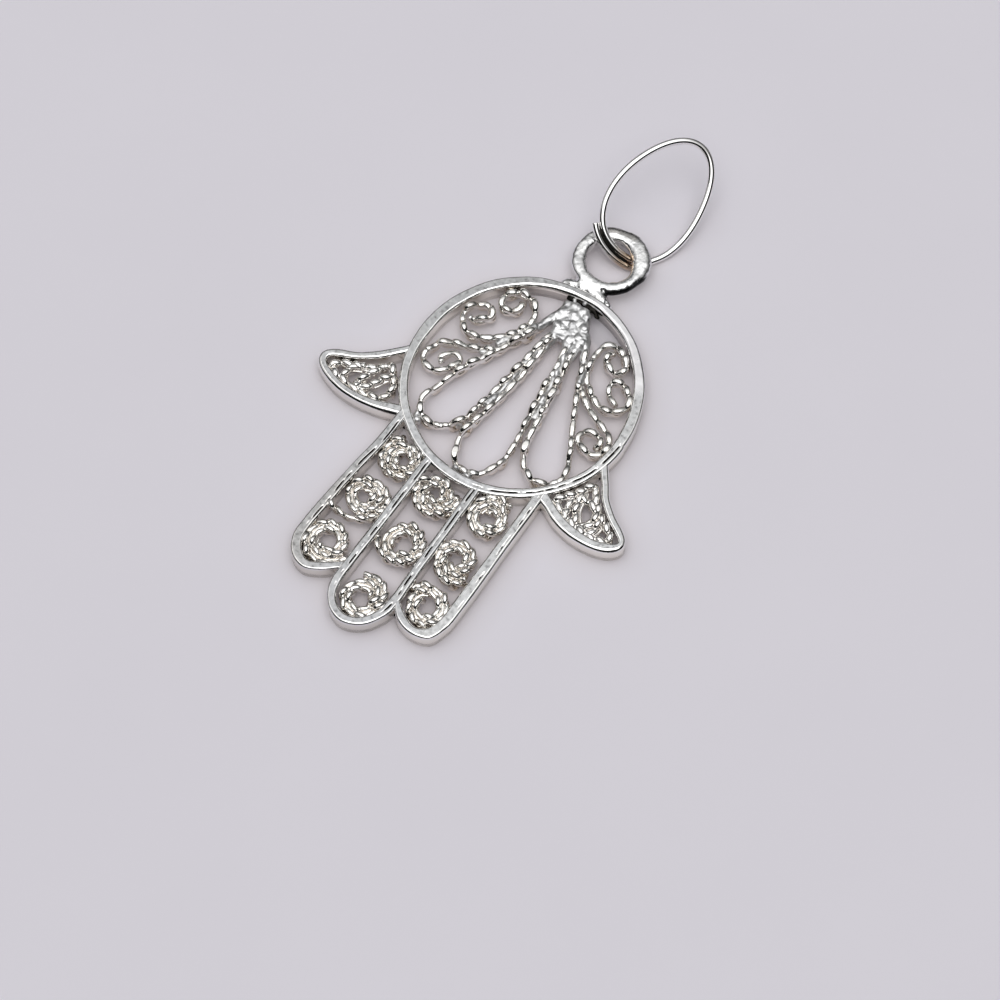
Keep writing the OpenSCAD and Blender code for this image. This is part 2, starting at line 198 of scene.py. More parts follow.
def twisted(C, closed=False, pitch=2.34, width=0.54, height=0.98, zc=0.85, phase=0.0, seed=1, sides=12,
            per=22, jit=1.0, zend=None, full=3.0, lay=0.44, rough=0.0):
    """Two flattened strands twisted about the curve C (rows x, y), the wire standing on its edge. full is how square
    the strands' section is (2 is an ellipse), lay half a strand's width as a share of the wire's, and rough a
    short-wave unevenness in millimetres."""
    P, s, L = resample(C, step=pitch / per, closed=closed)
    if closed:
        turns = max(1, round(L / pitch * 2)) / 2.0   # half turns meet, since the strands are alike
        if abs(turns - round(turns)) > 0.1:
            turns = round(turns)
        w = 2 * np.pi * turns / L
    else:
        w = 2 * np.pi / pitch
    T = tangents(P, closed)
    N = np.column_stack([-T[:, 1], T[:, 0], np.zeros(len(T))])
    Z = np.array([0, 0, 1.0])
    ra, rb = width * lay, height * 0.27
    a, b = width / 2 - ra, height / 2 - rb
    parts = []
    base = np.column_stack([P, np.full(len(P), zc)])
    base[:, 2] += 0.02 * jit * wob(s, seed)
    if zend is not None:
        base[:, 2] += np.interp(s, [0, L * 0.5, L], zend)
    base += N * (0.018 * jit * wob(s, seed + 9, 0.7))[:, None]
    drift = 0.35 * jit * wob(s, seed + 3, 2.0)
    if closed:
        edge = np.minimum(s, L - s) / min(2.0, L / 4)
        drift *= np.clip(edge, 0, 1)
    for k in (0, 1):
        ph = w * s + phase + k * np.pi + drift
        amp = 1 + 0.10 * jit * wob(s, seed + 20 + k, 0.6)
        up = np.tanh(1.5 * np.sin(ph)) / math.tanh(1.5)
        if rough:
            up = up + rough / b * vnoise(base, 0.9, seed + k)
            amp = amp + rough / a * vnoise(base, 1.1, seed + 7 + k)
        Q = base + N * (a * amp * np.cos(ph))[:, None] + Z * (b * amp * up)[:, None]
        Ts = tangents(Q, closed)
        e1 = N - Ts * (N * Ts).sum(1)[:, None]
        e1 /= np.linalg.norm(e1, axis=1, keepdims=True)
        e2 = np.cross(Ts, e1)
        fat = (1 + 0.06 * jit * wob(s, seed + 30 + k, 0.5)) * (0.80 + 0.20 * np.abs(np.sin(ph)))
        n, m = len(Q), sides
        V = np.zeros((n, m, 3))
        for j in range(m):
            t = 2 * np.pi * (j + 0.5) / m
            c, sn = math.cos(t), math.sin(t)
            c = math.copysign(abs(c) ** (2 / full), c)
            sn = math.copysign(abs(sn) ** (2 / full), sn)
            V[:, j] = Q + e1 * (ra * fat * c)[:, None] + e2 * (rb * fat * sn)[:, None]
        F = grid_faces(n, m, closed, True)
        if not closed:
            F.append(tuple(range(m)))
            F.append(tuple((n - 1) * m + j for j in reversed(range(m))))
        parts.append((V.reshape(-1, 3), F))
    return join_parts(parts)


def tube(Q, e1, e2, r, sides=24):
    n = len(Q)
    V = np.zeros((n, sides, 3))
    for j in range(sides):
        a = 2 * math.pi * j / sides
        V[:, j] = Q + e1 * (r * math.cos(a))[:, None] + e2 * (r * math.sin(a))[:, None]
    F = grid_faces(n, sides, False, True)
    F.append(tuple(range(sides)))
    F.append(tuple((n - 1) * sides + j for j in reversed(range(sides))))
    return V.reshape(-1, 3), F


_lat = np.random.default_rng(21).uniform(-1, 1, (32, 32, 32))


def vnoise(P, freq, seed=0):
    """Smooth noise between -1 and 1 at the points P (n, 3), with freq lumps a millimetre."""
    Q = np.asarray(P, float) * freq + np.array([seed * 3.17, seed * 1.31, seed * 7.77])
    i = np.floor(Q).astype(int)
    f = Q - i
    f = f * f * (3 - 2 * f)
    out = np.zeros(len(Q))
    for dx in (0, 1):
        for dy in (0, 1):
            for dz in (0, 1):
                w = (f[:, 0] if dx else 1 - f[:, 0]) * (f[:, 1] if dy else 1 - f[:, 1]) * (f[:, 2] if dz else 1 - f[:, 2])
                out += w * _lat[(i[:, 0] + dx) % 32, (i[:, 1] + dy) % 32, (i[:, 2] + dz) % 32]
    return out


def smin(a, b, k):
    h = np.clip(0.5 + 0.5 * (b - a) / k, 0, 1)
    return b * (1 - h) + a * h - k * h * (1 - h)


def d_ball(P, c, r):
    """Distance to an ellipsoid with half sizes r, close to true near its surface."""
    q = (P - np.array(c)) / np.array(r)
    k0 = np.linalg.norm(q, axis=1)
    k1 = np.linalg.norm(q / np.array(r), axis=1)
    return k0 * (k0 - 1) / np.maximum(k1, 1e-6)


def d_line(P, pts, r):
    """Distance to a round rod along the points pts (rows x, y, z), r its radius at each point."""
    pts = np.asarray(pts, float)
    r = np.broadcast_to(np.asarray(r, float), (len(pts),))
    best = np.full(len(P), 9.0)
    for i in range(len(pts) - 1):
        a, b = pts[i], pts[i + 1]
        ab = b - a
        t = np.clip(((P - a) @ ab) / (ab @ ab), 0, 1)
        d = np.linalg.norm(P - a - t[:, None] * ab, axis=1) - (r[i] + t * (r[i + 1] - r[i]))
        best = np.minimum(best, d)
    return best


def level_set(field, lo, hi, h):
    """Quads on the zero level of field(P) inside the box lo..hi, one vertex in each crossed cell of size h."""
    ax = [np.arange(lo[k], hi[k] + h, h) for k in range(3)]
    n = [len(a) for a in ax]
    G = np.stack(np.meshgrid(*ax, indexing="ij"), -1).reshape(-1, 3)
    F = field(G).reshape(n)
    S = F < 0
    c = np.zeros([k - 1 for k in n], int)
    for dx in (0, 1):
        for dy in (0, 1):
            for dz in (0, 1):
                c += S[dx:n[0] - 1 + dx, dy:n[1] - 1 + dy, dz:n[2] - 1 + dz]
    act = (c > 0) & (c < 8)
    idx = -np.ones(act.shape, int)
    idx[act] = np.arange(act.sum())
    I = np.argwhere(act)
    acc = np.zeros((len(I), 3))
    cnt = np.zeros(len(I))
    corners = [(x, y, z) for x in (0, 1) for y in (0, 1) for z in (0, 1)]
    for p in corners:
        for k in range(3):
            if p[k]:
                continue
            q = list(p)
            q[k] = 1
            fa = F[I[:, 0] + p[0], I[:, 1] + p[1], I[:, 2] + p[2]]
            fb = F[I[:, 0] + q[0], I[:, 1] + q[1], I[:, 2] + q[2]]
            m = (fa < 0) != (fb < 0)
            t = np.where(m, fa / np.where(m, fa - fb, 1), 0)
            pos = np.tile(np.array(p, float), (len(I), 1))
            pos[:, k] += t
            acc += pos * m[:, None]
            cnt += m
    V = np.array(lo) + h * (I + acc / cnt[:, None])
    faces = []
    for k in range(3):
        a, b = (k + 1) % 3, (k + 2) % 3
        s0 = [slice(None)] * 3
        s1 = [slice(None)] * 3
        s0[k] = slice(0, n[k] - 1)
        s1[k] = slice(1, n[k])
        A, B = S[tuple(s0)], S[tuple(s1)]
        E = np.argwhere(A != B)
        E = E[(E[:, a] > 0) & (E[:, b] > 0) & (E[:, a] < n[a] - 1) & (E[:, b] < n[b] - 1)]
        sgn = A[E[:, 0], E[:, 1], E[:, 2]]
        quad = []
        for da, db in ((-1, -1), (0, -1), (0, 0), (-1, 0)):
            C = E.copy()
            C[:, a] += da
            C[:, b] += db
            quad.append(idx[C[:, 0], C[:, 1], C[:, 2]])
        Q = np.stack(quad, 1)
        Q[~sgn] = Q[~sgn][:, ::-1]
        faces.append(Q)
    return V, np.vstack(faces)


# ---------------------------------------------------------------- materials
def silver(name, base=(0.93, 0.925, 0.915), rough=0.16, rough_top=None, bump=0.06, scale=900.0, scratch=0.0,
           tint=(0.86, 0.84, 0.80), tint_amount=0.35, low=None, low_z=(0.5, 1.1)):
    """Polished silver with fine scratches; faces that look straight up can be rougher, and their colour is darkened in
    patches as painted shade. What lies below the heights low_z (mm) is darkened to the colour low, a painted shade of
    the lower parts."""
    m = bpy.data.materials.new(name)
    m.use_nodes = True
    nt = m.node_tree
    nt.nodes.clear()
    N = nt.nodes.new
    L = nt.links.new
    out = N("ShaderNodeOutputMaterial")
    b = N("ShaderNodeBsdfPrincipled")
    b.inputs["Metallic"].default_value = 1.0
    L(b.outputs[0], out.inputs[0])
    tc = N("ShaderNodeTexCoord")
    n1 = N("ShaderNodeTexNoise")
    n1.inputs["Scale"].default_value = scale
    n1.inputs["Detail"].default_value = 5.0
    L(tc.outputs["Object"], n1.inputs["Vector"])
    n2 = N("ShaderNodeTexNoise")
    n2.inputs["Scale"].default_value = scale * 0.28
    n2.inputs["Detail"].default_value = 3.0
    L(tc.outputs["Object"], n2.inputs["Vector"])
    ramp = N("ShaderNodeValToRGB")
    ramp.color_ramp.elements[0].position = 0.35
    ramp.color_ramp.elements[0].color = (*[base[i] * (1 - tint_amount) + tint[i] * tint_amount for i in range(3)], 1)
    ramp.color_ramp.elements[1].position = 0.65
    ramp.color_ramp.elements[1].color = (*base, 1)
    L(n2.outputs["Fac"], ramp.inputs["Fac"])
    L(ramp.outputs["Color"], b.inputs["Base Color"])
    mr = N("ShaderNodeMapRange")
    mr.inputs["From Min"].default_value = 0.3
    mr.inputs["From Max"].default_value = 0.7
    mr.inputs["To Min"].default_value = rough * 0.8
    mr.inputs["To Max"].default_value = rough * 1.35
    L(n1.outputs["Fac"], mr.inputs["Value"])
    r_out = mr.outputs["Result"]
    if rough_top is not None:
        sep = N("ShaderNodeSeparateXYZ")
        geo = N("ShaderNodeNewGeometry")
        L(geo.outputs["Normal"], sep.inputs[0])
        mt = N("ShaderNodeMapRange")
        mt.inputs["From Min"].default_value = 0.988
        mt.inputs["From Max"].default_value = 0.998
        L(sep.outputs["Z"], mt.inputs["Value"])
        mr2 = N("ShaderNodeMapRange")
        mr2.inputs["From Min"].default_value = 0.3
        mr2.inputs["From Max"].default_value = 0.7
        mr2.inputs["To Min"].default_value = rough_top * 0.8
        mr2.inputs["To Max"].default_value = rough_top * 1.25
        L(n1.outputs["Fac"], mr2.inputs["Value"])
        mix = N("ShaderNodeMix")
        mix.data_type = "FLOAT"
        L(mt.outputs["Result"], mix.inputs[0])
        L(mr.outputs["Result"], mix.inputs[2])
        L(mr2.outputs["Result"], mix.inputs[3])
        r_out = mix.outputs[0]
        painted_top_shade = N("ShaderNodeMix")      # painted shade: satin tops are also made a little greyer, in patches
        painted_top_shade.data_type = "RGBA"
        painted_top_shade.blend_type = "MULTIPLY"
        patch = N("ShaderNodeTexNoise")
        patch.inputs["Scale"].default_value = scale * 1.6
        patch.inputs["Detail"].default_value = 6.0
        L(tc.outputs["Object"], patch.inputs["Vector"])
        pr = N("ShaderNodeValToRGB")
        pr.color_ramp.elements[0].position = 0.34
        pr.color_ramp.elements[0].color = (0.33, 0.334, 0.342, 1)
        pr.color_ramp.elements[1].position = 0.62
        pr.color_ramp.elements[1].color = (0.64, 0.648, 0.665, 1)
        mid = pr.color_ramp.elements.new(0.44)
        mid.color = (0.53, 0.538, 0.55, 1)
        L(patch.outputs["Fac"], pr.inputs["Fac"])
        L(mt.outputs["Result"], painted_top_shade.inputs[0])
        L(ramp.outputs["Color"], painted_top_shade.inputs[6])
        L(pr.outputs["Color"], painted_top_shade.inputs[7])
        L(painted_top_shade.outputs[2], b.inputs["Base Color"])
    # painted shade: below the heights low_z the colour turns to low
    if low:
        lz = N("ShaderNodeSeparateXYZ")
        L(tc.outputs["Object"], lz.inputs[0])
        lm = N("ShaderNodeMapRange")
        lm.inputs["From Min"].default_value = low_z[0] * MM
        lm.inputs["From Max"].default_value = low_z[1] * MM
        L(lz.outputs["Z"], lm.inputs["Value"])
        lc = N("ShaderNodeMix")
        lc.data_type = "RGBA"
        lc.inputs[6].default_value = (*low, 1)
        L(lm.outputs["Result"], lc.inputs[0])
        L(b.inputs["Base Color"].links[0].from_socket, lc.inputs[7])
        L(lc.outputs[2], b.inputs["Base Color"])
    L(r_out, b.inputs["Roughness"])
    bp = N("ShaderNodeBump")
    bp.inputs["Strength"].default_value = bump
    bp.inputs["Distance"].default_value = 0.00005
    if scratch:
        mp = N("ShaderNodeMapping")
        mp.inputs["Scale"].default_value = (1.0, 0.06, 1.0)
        mp.inputs["Rotation"].default_value = (0, 0, 0.6)
        L(tc.outputs["Object"], mp.inputs["Vector"])
        n3 = N("ShaderNodeTexNoise")
        n3.inputs["Scale"].default_value = scale * 4
        n3.inputs["Detail"].default_value = 2.0
        L(mp.outputs[0], n3.inputs["Vector"])
        mx = N("ShaderNodeMath")
        mx.operation = "MULTIPLY_ADD"
        mx.inputs[1].default_value = scratch
        L(n3.outputs["Fac"], mx.inputs[0])
        L(n1.outputs["Fac"], mx.inputs[2])
        L(mx.outputs[0], bp.inputs["Height"])
    else:
        L(n1.outputs["Fac"], bp.inputs["Height"])
    L(bp.outputs["Normal"], b.inputs["Normal"])
    return m


# near black: the strips' dark seams, and painted shade where it fills the crevices at the solder joint and between the
# jump ring's lapped ends
M_SEAM_AND_SHADE = silver("silver_burnt_and_painted_shade", base=(0.022, 0.02, 0.018), tint=(0.006, 0.006, 0.006), rough=0.30, bump=0.3,
                scale=2500.0)
# the low colours below are painted shade on the lower parts of each piece
M_STRIP = silver("silver_strip", rough=0.07, rough_top=0.31, bump=0.14, scale=1700.0, scratch=0.9,
                 low=(0.92, 0.89, 0.835), low_z=(1.10, 1.28))
M_WIRE = silver("silver_twisted_wire", base=(0.95, 0.94, 0.92), rough=0.09, bump=0.12, scale=2600.0,
                tint=(0.80, 0.77, 0.73), tint_amount=0.8, low=(0.74, 0.67, 0.59), low_z=(0.50, 1.00))
M_COIL = silver("silver_coiled_wire", base=(0.95, 0.935, 0.91), rough=0.10, bump=0.14, scale=2600.0,
                tint=(0.84, 0.81, 0.77), tint_amount=0.9, low=(0.72, 0.65, 0.575), low_z=(0.60, 1.10))
# a lighter copy of the twisted wire's silver for the thumbs' filigree: painted light
M_THUMB_LIT = silver("silver_thumb_wire_lit", base=(0.97, 0.96, 0.95), rough=0.09, bump=0.12, scale=2600.0,
                 tint=(0.86, 0.83, 0.79), tint_amount=0.8, low=(0.85, 0.79, 0.72), low_z=(0.50, 1.00))
M_CAST = silver("silver_cast", base=(0.94, 0.94, 0.935), rough=0.22, bump=0.30, scale=4200.0,
                tint=(0.70, 0.70, 0.705), tint_amount=1.0, low=(0.84, 0.80, 0.74), low_z=(0.5, 1.0))
M_SOLDER = silver("silver_solder", base=(0.86, 0.86, 0.86), rough=0.36, bump=0.34, scale=4800.0,
                  tint=(0.52, 0.52, 0.525), tint_amount=1.0, low=(0.78, 0.73, 0.66), low_z=(0.5, 1.0))
M_RING = silver("silver_ring_wire", base=(0.95, 0.945, 0.94), rough=0.06, bump=0.03, scale=1200.0)



def shade(mat, centre, toward, spread, z, r, color):
    """Paint shade into a material's colour on a round rim, and light where color is the lighter: the colour turns to
    color round the direction toward (degrees) from centre and as far as spread (degrees), between the radii r and the
    heights z (mm: off, on, on, off)."""
    nt = mat.node_tree
    L = nt.links.new

    def node(kind, *ins, op=None):
        n = nt.nodes.new(kind)
        if op:
            n.operation = op
        for k, v in enumerate(ins):
            if isinstance(v, bpy.types.NodeSocket):
                L(v, n.inputs[k])
            else:
                n.inputs[k].default_value = v
        return n

    def step(v, lo, hi):
        r = nt.nodes.new("ShaderNodeMapRange")
        r.interpolation_type = "SMOOTHSTEP"
        r.inputs["From Min"].default_value = lo
        r.inputs["From Max"].default_value = hi
        L(v, r.inputs["Value"])
        return r.outputs["Result"]

    def mul(a, b):
        return node("ShaderNodeMath", a, b, op="MULTIPLY").outputs[0]

    tc = nt.nodes.new("ShaderNodeTexCoord")
    off = node("ShaderNodeVectorMath", tc.outputs["Object"], (centre[0] * MM, centre[1] * MM, 0), op="SUBTRACT")
    flat = node("ShaderNodeVectorMath", off.outputs[0], (1, 1, 0), op="MULTIPLY")
    unit = node("ShaderNodeVectorMath", flat.outputs[0], op="NORMALIZE")
    a = math.radians(toward)
    dot = node("ShaderNodeVectorMath", unit.outputs[0], (math.cos(a), math.sin(a), 0), op="DOT_PRODUCT")
    length = node("ShaderNodeVectorMath", flat.outputs[0], op="LENGTH")
    sep = node("ShaderNodeSeparateXYZ", tc.outputs["Object"])
    m = mul(step(dot.outputs["Value"], math.cos(math.radians(spread)), math.cos(math.radians(spread * 0.35))),
            mul(step(length.outputs["Value"], r[0] * MM, r[1] * MM), step(length.outputs["Value"], r[3] * MM, r[2] * MM)))
    m = mul(m, mul(step(sep.outputs["Z"], z[0] * MM, z[1] * MM), step(sep.outputs["Z"], z[3] * MM, z[2] * MM)))
    m = step(m, 0.10, 0.75)
    mix = nt.nodes.new("ShaderNodeMix")
    mix.data_type = "RGBA"
    b = next(n for n in nt.nodes if n.type == "BSDF_PRINCIPLED")
    L(m, mix.inputs[0])
    L(b.inputs["Base Color"].links[0].from_socket, mix.inputs[6])
    mix.inputs[7].default_value = (*color, 1)
    L(mix.outputs[2], b.inputs["Base Color"])


# painted shade: a black crescent on the outer flank of the eye's rim at its lower right
shade(M_CAST, (-0.38, 12.084), -30, 50, (0.74, 0.96, 1.34, 1.58), (2.30, 2.42, 2.85, 3.05), (0.012, 0.012, 0.012))
# painted shade: the outer half of the eye's far rim is greyer
shade(M_CAST, (-0.38, 12.084), 112, 50, (0.60, 0.90, 1.80, 1.90), (2.05, 2.35, 3.10, 3.30), (0.40, 0.39, 0.38))
# painted shade: the palm ring's inner wall under its top arc is darker
shade(M_STRIP, (0, 0), 88, 62, (-0.50, -0.30, 0.85, 1.10), (7.30, 7.60, 8.30, 8.45), (0.52, 0.49, 0.47))



def painted_shade_beyond(mat, y, color, x):
    """Multiply a material's colour by color beyond y[1] (mm along Y) and x[1] (mm along X), and not at all before
    y[0] or x[0]."""
    nt = mat.node_tree
    L = nt.links.new
    tc = nt.nodes.new("ShaderNodeTexCoord")
    sep = nt.nodes.new("ShaderNodeSeparateXYZ")
    L(tc.outputs["Object"], sep.inputs[0])
    r = nt.nodes.new("ShaderNodeMapRange")
    r.inputs["From Min"].default_value = y[0] * MM
    r.inputs["From Max"].default_value = y[1] * MM
    L(sep.outputs["Y"], r.inputs["Value"])
    q = nt.nodes.new("ShaderNodeMapRange")
    q.inputs["From Min"].default_value = x[0] * MM
    q.inputs["From Max"].default_value = x[1] * MM
    L(sep.outputs["X"], q.inputs["Value"])
    both = nt.nodes.new("ShaderNodeMath")
    both.operation = "MULTIPLY"
    L(r.outputs["Result"], both.inputs[0])
    L(q.outputs["Result"], both.inputs[1])
    mix = nt.nodes.new("ShaderNodeMix")
    mix.data_type = "RGBA"
    mix.blend_type = "MULTIPLY"
    b = next(n for n in nt.nodes if n.type == "BSDF_PRINCIPLED")
    L(both.outputs[0], mix.inputs[0])
    L(b.inputs["Base Color"].links[0].from_socket, mix.inputs[6])
    mix.inputs[7].default_value = (*color, 1)
    L(mix.outputs[2], b.inputs["Base Color"])


# painted shade: the strips over the fingers are darker, and the left finger's outer strip more so towards its tip
painted_shade_beyond(M_STRIP, (-6.2, -8.4), (0.84, 0.84, 0.85), (5.2, 3.4))
painted_shade_beyond(M_STRIP, (-9.0, -13.0), (0.91, 0.895, 0.87), (-3.5, -5.5))
# painted light: the palm ring's top on its upper right is made lighter
shade(M_STRIP, (0, 0), 58, 36, (1.20, 1.30, 1.70, 1.80), (7.8, 8.0, 9.0, 9.3), (0.81, 0.80, 0.81))

# ---------------------------------------------------------------- the hand's strips
left_edge = [(-5.98, -6.3), (-6.02, -9.0), (-6.2, -11.0), (-6.35, -13.0), (-6.5, -15.0), (-6.59, -17.4),
             (-6.45, -18.8), (-5.7, -19.95), (-4.5, -20.38), (-3.3, -19.87), (-2.3, -19.02)]
left_inner = [(-5.40, -6.5), (-5.45, -9.0), (-5.62, -11.5), (-5.78, -13.5), (-5.88, -15.0), (-5.95, -17.3),
              (-5.82, -18.6), (-5.25, -19.45), (-4.45, -19.8), (-3.4, -19.28), (-2.3, -18.42)]
middle_outer = [(-2.38, -8.3), (-2.38, -12.0), (-2.38, -16.0), (-2.37, -18.6), (-2.32, -19.7), (-2.0, -20.8),
                (-1.1, -21.8), (0.15, -22.15), (1.5, -21.5), (2.35, -20.2), (2.6, -18.9), (2.52, -17.0),
                (2.42, -14.0), (2.34, -10.0), (2.30, -8.3)]
middle_inner = [(-1.72, -8.3), (-1.72, -12.0), (-1.72, -16.0), (-1.71, -18.6), (-1.68, -19.6), (-1.45, -20.6),
                (-0.85, -21.28), (0.05, -21.56), (1.05, -21.15), (1.72, -20.15), (1.9, -18.9), (1.86, -17.0),
                (1.77, -14.0), (1.69, -10.0), (1.66, -8.3)]
right_edge = [(2.5, -19.1), (3.35, -19.87), (4.65, -20.17), (5.9, -19.72), (6.42, -18.4), (6.46, -17.0),
              (6.4, -14.0), (6.33, -11.0), (6.3, -8.0), (6.27, -6.2)]
right_inner = [(2.5, -18.5), (3.35, -19.15), (4.5, -19.6), (5.35, -19.15), (5.72, -18.0), (5.75, -16.8),
               (5.74, -14.0), (5.71, -11.0), (5.68, -8.0), (5.66, -6.4)]
left_thumb = [(-8.45, -1.8), (-9.22, -2.64), (-10.1, -3.54), (-11.2, -4.42), (-12.54, -5.03), (-13.25, -5.7),
              (-13.22, -6.45), (-12.48, -7.13), (-11.0, -7.66), (-9.33, -7.78), (-7.75, -7.56), (-6.22, -7.14),
              (-5.8, -6.98)]
left_thumb_in = [(-8.1, -2.35), (-8.75, -3.12), (-9.75, -4.12), (-10.95, -4.95), (-12.15, -5.55), (-12.62, -5.9),
                 (-12.62, -6.3), (-12.15, -6.7), (-10.9, -7.15), (-9.3, -7.22), (-7.85, -6.95), (-6.45, -6.42),
                 (-5.95, -6.2)]
right_thumb = [(6.0, -6.8), (6.75, -7.08), (7.9, -7.64), (9.5, -7.98), (11.1, -7.9), (12.3, -7.52),
               (13.02, -6.8), (12.95, -6.02), (12.3, -5.4), (11.3, -4.8), (10.27, -3.92), (9.6, -2.98), (8.6, -1.66)]
right_thumb_in = [(6.1, -6.0), (6.95, -6.46), (8.1, -6.98), (9.55, -7.3), (10.95, -7.3), (11.95, -7.0),
                  (12.5, -6.6), (12.5, -6.25), (11.95, -5.84), (10.95, -5.24), (9.85, -4.28), (9.15, -3.3),
                  (8.2, -2.1)]

A = np.linspace(0, 2 * np.pi, 480, endpoint=False)
AD = (np.degrees(A) + 90) % 360 - 90
broad = 0.20 * np.clip((AD + 20) / 25, 0, 1) * np.clip((205 - AD) / 25, 0, 1)   # the upper arc's strip is broader
ring_in = np.column_stack([0.07 + (8.07 - broad) * np.cos(A), 0.085 + (8.305 - broad) * np.sin(A)])
AE = AD % 360
wide = 0.055 * np.clip((AE - 235) / 20, 0, 1) + 0.03 * np.clip((AE - 325) / 10, 0, 1)   # so is the lower right's, outside
wide *= np.clip((368 - AE) / 12, 0, 1)
ring_out = np.column_stack([0.05 + (8.75 + wide) * np.cos(A), 0.02 + (8.97 + wide) * np.sin(A)])
ring_rin = 0.18 + 0.24 * np.exp(-((AD - 84) / 34) ** 2)


def seam_ring(s):
    """On the ring's lower right arc the seam of two strips shows near the outer edge."""
    a = 360 * s / s[-1]
    return np.full(len(s), 0.36), np.clip((42 - np.abs(a - 322)) / 8, 0, 1), 0.95


def seam_left(s):
    return np.full(len(s), 0.52), np.clip((11.5 - s) / 1.5, 0, 1), 0.6


def seam_middle(s):
    """Left divider: near the middle cell. Right divider: near the right cell. None round the tip."""
    L = s[-1]
    steady = np.where(s < L / 2, 0.30, 0.45)
    return np.where(s < L / 2, 0.45, 0.40), np.clip((np.abs(s - L / 2) - 2.6) / 1.0, 0, 1), steady


def seam_right(s):
    return np.full(len(s), 0.33), 0.5 * np.clip((s - 6.0) / 1.5, 0, 1), 0.3


built = [strip(ring_in, ring_out, True, 1, top=FRAME_H + 0.012, groove=seam_ring, rin=ring_rin, tilt=0.05)]
NONE, LEFT_CUT, RIGHT_CUT = (0, 0, 0, 0), (0.0, 0.0, 0.25, 0.55), (0.0, 0.35, 0.15, 0.0)
for i, (inn, out, dz, gr, ri, ro, gi, go, fc) in enumerate((
        (left_inner, left_edge, -0.012, seam_left, 0.19, 0.17, (0.18, 0.12), (0.0, 0.0), NONE),
        (middle_inner, middle_outer, -0.004, seam_middle, 0.20, 0.20, (0.10, 0.0), (0.0, 0.10), NONE),
        (right_inner, right_edge, -0.012, seam_right, 0.18, 0.22, (0.0, 0.07), (0.08, 0.15), NONE),
        (left_thumb_in, left_thumb, -0.02, None, 0.20, 0.27, (0.0, 0.15), (0.0, 0.0), LEFT_CUT),
        (right_thumb_in, right_thumb, -0.016, None, 0.18, 0.25, (0.16, 0.03), (0.0, 0.0), RIGHT_CUT))):
    I, O = cr(inn, 14), cr(out, 14)
    D = (O - I) / np.linalg.norm(O - I, axis=1, keepdims=True)
    f = np.linspace(0, 1, len(I))
    I = I - D * np.interp(f, (0, 0.4, 0.6, 1), (gi[0], gi[0], gi[1], gi[1]))[:, None]
    O = O + D * np.interp(f, (0, 0.4, 0.6, 1), (go[0], go[0], go[1], go[1]))[:, None]
    built.append(strip(I, O, False, 10 + i, top=FRAME_H + dz, groove=gr, rin=ri, rout=ro,
                       cut=np.interp(f, (0, 0.42, 0.62, 1), fc)))
V, F = join_parts([(b[0], b[1]) for b in built])
make("hand_strips", V, F, M_STRIP, ("frame",), second=M_SEAM_AND_SHADE, where=[k for b in built for k in b[2]])

# ---------------------------------------------------------------- the eye and its solder
EX, EY, EZ = -0.38, 12.084, 1.18
FOOT = [(-1.75, 9.0, 0.78, 0.78, 0.5, 0.62), (-0.95, 9.3, 0.85, 0.72, 0.6, 0.66), (-0.3, 9.25, 0.85, 0.7, 0.55, 0.68),
        (0.5, 9.2, 0.82, 0.7, 0.5, 0.64), (1.2, 8.95, 0.78, 0.62, 0.42, 0.58), (-2.15, 8.72, 0.72, 0.42, 0.3, 0.5)]


def eye_field(P):
    x, y, z = P[:, 0] - EX, P[:, 1] - EY, P[:, 2] - EZ
    th = np.arctan2(y, x)
    to_right = np.exp(-((th - math.radians(35)) / 0.62) ** 2)
    knob = np.exp(-((th - math.radians(80)) / 0.42) ** 2)
    near = np.exp(-((th + math.radians(35)) / 0.75) ** 2)      # rounder where it turns to the lower right
    to_left = np.clip(np.exp(-((th + math.radians(145)) / 0.8) ** 2) + np.exp(-((th - math.radians(140)) / 0.6) ** 2), 0, 1)
    R = 2.25 + 0.03 * to_right + 0.04 * knob + 0.07 * to_left + 0.02 * np.sin(2 * th + 1.0)
    rh = 0.47 + 0.22 * to_right + 0.11 * knob + 0.08 * to_left + 0.015 * np.sin(7 * th) + 0.010 * np.sin(13 * th + 1.0)
    rv = 0.45 + 0.03 * to_right
    p = 2.7 - 0.7 * near
    d = ((np.abs((np.hypot(x, y) - R) / rh) ** p + np.abs(z / rv) ** p) ** (1 / p) - 1) * 0.46
    foot = np.full(len(P), 9.0)
    for cx, cy, cz, rx, ry, rz in FOOT:
        foot = smin(foot, d_ball(P, (cx, cy, cz), (rx, ry, rz)), 0.20)
    foot += 0.06 * vnoise(P, 1.5, 3) + 0.022 * vnoise(P, 4.5, 4)
    d = smin(d, foot, 0.26)
    d += 0.026 * vnoise(P, 1.1, 5) + 0.018 * vnoise(P, 3.0, 7) + 0.007 * vnoise(P, 7.0, 6)
    for c, r in (((0.62, 9.62, 1.58), 0.20), ((0.28, 14.12, 1.74), 0.13), ((1.25, 9.05, 1.42), 0.16),
                 ((-0.15, 14.02, 1.80), 0.09), ((1.15, 9.52, 1.20), 0.18)):
        d = -smin(-d, np.linalg.norm(P - np.array(c), axis=1) - r, 0.06)
    return np.maximum(d, 0.02 - P[:, 2])


V, F = level_set(eye_field, (-3.4, 7.9, -0.06), (2.75, 15.05, 1.95), 0.05)
make("eye_ring", V, F, M_CAST)

